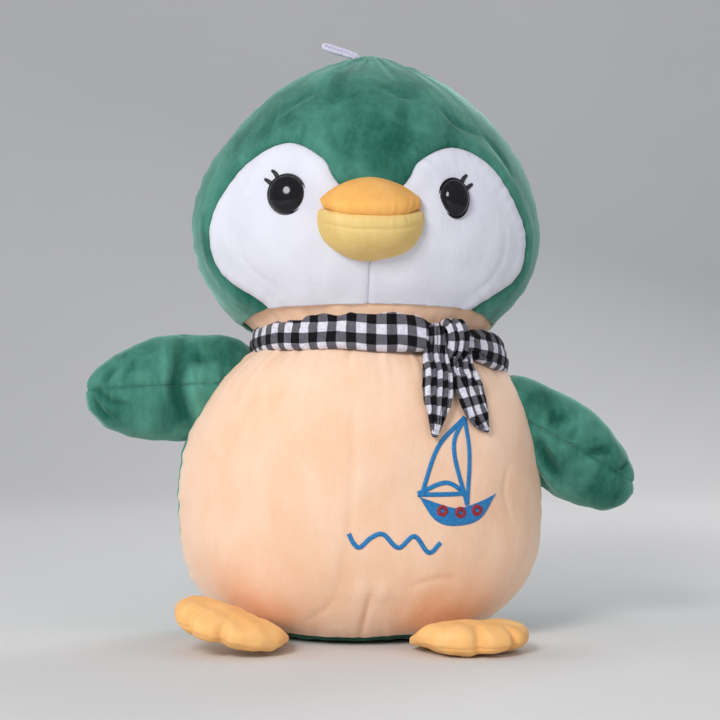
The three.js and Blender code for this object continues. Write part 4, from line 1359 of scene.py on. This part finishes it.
def make_feet():
    directions, faces = geodesic(44)
    rest = foot_points(directions)
    skin = Skin(faces, rest=rest, normal=normals_of(rest, faces))
    skin.values["upper"] = rest[:, 2] - FOOT["seam"]
    for side in FEET:
        for name, half in (("top", 1), ("sole", -1)):
            panel = skin.cut("upper", half)
            points = place_foot(side, shaped(panel, foot_push))
            points[:, 2] = np.maximum(points[:, 2], 0.1)
            node = f"foot_{side}_{name}_panel"
            sew(f"foot_skin_{side}_{name}", panel, points, ORANGE, f"foot_{side}", node)


make_feet()


# ---------- Inside ----------


def make_fill(part, body, points, faces, seed):
    """The fill of one stuffed part: a lump a little smaller than the cloth round it."""
    depth = 5.5 + 1.2 * lumps(points, 16, seed)
    piece = make_object(f"{part}_fill", points - normals_of(points, faces) * depth[:, None], faces, FILL)
    settle(piece, body, f"{part}_stuffing")


def fill_body():
    skin = TORSO.skin(36)
    points = skin.values["rest"].copy()
    points[:, 2] -= np.maximum(neck_plane(points, NECK_LOW, -10), 0)
    points[:, 2] = np.maximum(points[:, 2], 6)
    make_fill("torso", "torso", points, skin.faces, 121)
    skin = HEAD.skin(36)
    points = to_world(skin.values["rest"])
    points[:, 2] -= np.minimum(neck_plane(points, NECK_HIGH, 12), 0)
    make_fill("head", "head", points, skin.faces, 122)
    directions, faces = geodesic(16)
    make_fill("beak", "head", to_world(BEAK_MIDDLE + directions * BEAK_SIZE), faces, 123)


def fill_limbs():
    directions, faces = geodesic(20)
    for side, wing in WINGS.items():
        rest = wing_points(directions[:, [2, 0, 1]], wing)
        points = rest + normals_of(rest, faces) * (wing_push(side)(rest) - 4)[:, None]
        points[:, 0] = np.maximum(points[:, 0], 2)
        make_fill(f"wing_{side}", f"wing_{side}", *place_wing(side, points, faces), 124)
    for side in FEET:
        points = place_foot(side, foot_points(directions))
        make_fill(f"foot_{side}", f"foot_{side}", points, faces, 125)


def fill_neck():
    sides = 40
    rows = [neck_ring(share, -10, sides) for share in np.linspace(-0.1, 1.1, 5)]
    points = np.vstack(rows + [rows[0].mean(axis=0), rows[-1].mean(axis=0)])
    make_fill("neck", "neck_core", points, closed_tube(len(rows), sides), 126)


def dress_washers():
    """The washers keep their CAD shapes, behind the cloth."""
    for side in ("left", "right"):
        mesh = frame["nodes"][f"eye_washer_{side}"].data
        mesh.materials.clear()
        mesh.materials.append(WASHER_PLASTIC)


fill_body()
fill_limbs()
fill_neck()
dress_washers()


# ---------- Stage ----------


def make_floor():
    """A pale floor that curves up into a backdrop."""
    material, tree, shader, place = new_material("floor", Roughness=0.7)
    tone = noise(tree, place, 3, 2.0)
    tree.links.new(mixed(tree, tone, (0.66, 0.655, 0.65), (0.7, 0.695, 0.69)), shader.inputs["Base Color"])
    profile = [[-3.0, 0.0], [1.2, 0.0]]
    for a in np.linspace(0, 0.5, 14)[1:] * math.pi:
        profile.append([1.2 + 0.9 * math.sin(a), 0.9 - 0.9 * math.cos(a)])
    profile.append([2.1, 3.5])
    points = [[x, y, z] for y, z in profile for x in (-4.0, 4.0)]
    faces = grid_faces(len(profile), 2)
    mesh = bpy.data.meshes.new("floor")
    mesh.from_pydata(points, [], faces.tolist())
    mesh.shade_smooth()
    mesh.materials.append(material)
    floor = bpy.data.objects.new("floor", mesh)
    bpy.context.scene.collection.objects.link(floor)


def add_light(name, place, target, size, power, in_eyes=False):
    data = bpy.data.lights.new(name, "AREA")
    data.shape = "DISK"
    data.size = size
    data.energy = power
    light = bpy.data.objects.new(name, data)
    light.visible_glossy = in_eyes
    light.location = place
    light.rotation_euler = (Vector(target) - Vector(place)).to_track_quat("-Z", "Y").to_euler()
    bpy.context.scene.collection.objects.link(light)


def make_lights():
    middle = (0, 0, 0.2)
    add_light("key", (-0.6, -1.5, 0.95), middle, 0.6, 19, in_eyes=True)
    add_light("side", (-1.5, -0.1, 0.6), middle, 0.9, 5)
    add_light("fill", (1.3, -1.2, 0.6), middle, 1.2, 4)
    add_light("rim", (0.6, 1.1, 1.1), middle, 0.8, 10)
    world = bpy.data.worlds.new("studio")
    world.use_nodes = True
    world.node_tree.nodes["Background"].inputs["Color"].default_value = (0.9, 0.93, 1.0, 1)
    world.node_tree.nodes["Background"].inputs["Strength"].default_value = 0.4
    bpy.context.scene.world = world
    bpy.context.scene.view_settings.view_transform = "Standard"


make_floor()
make_lights()
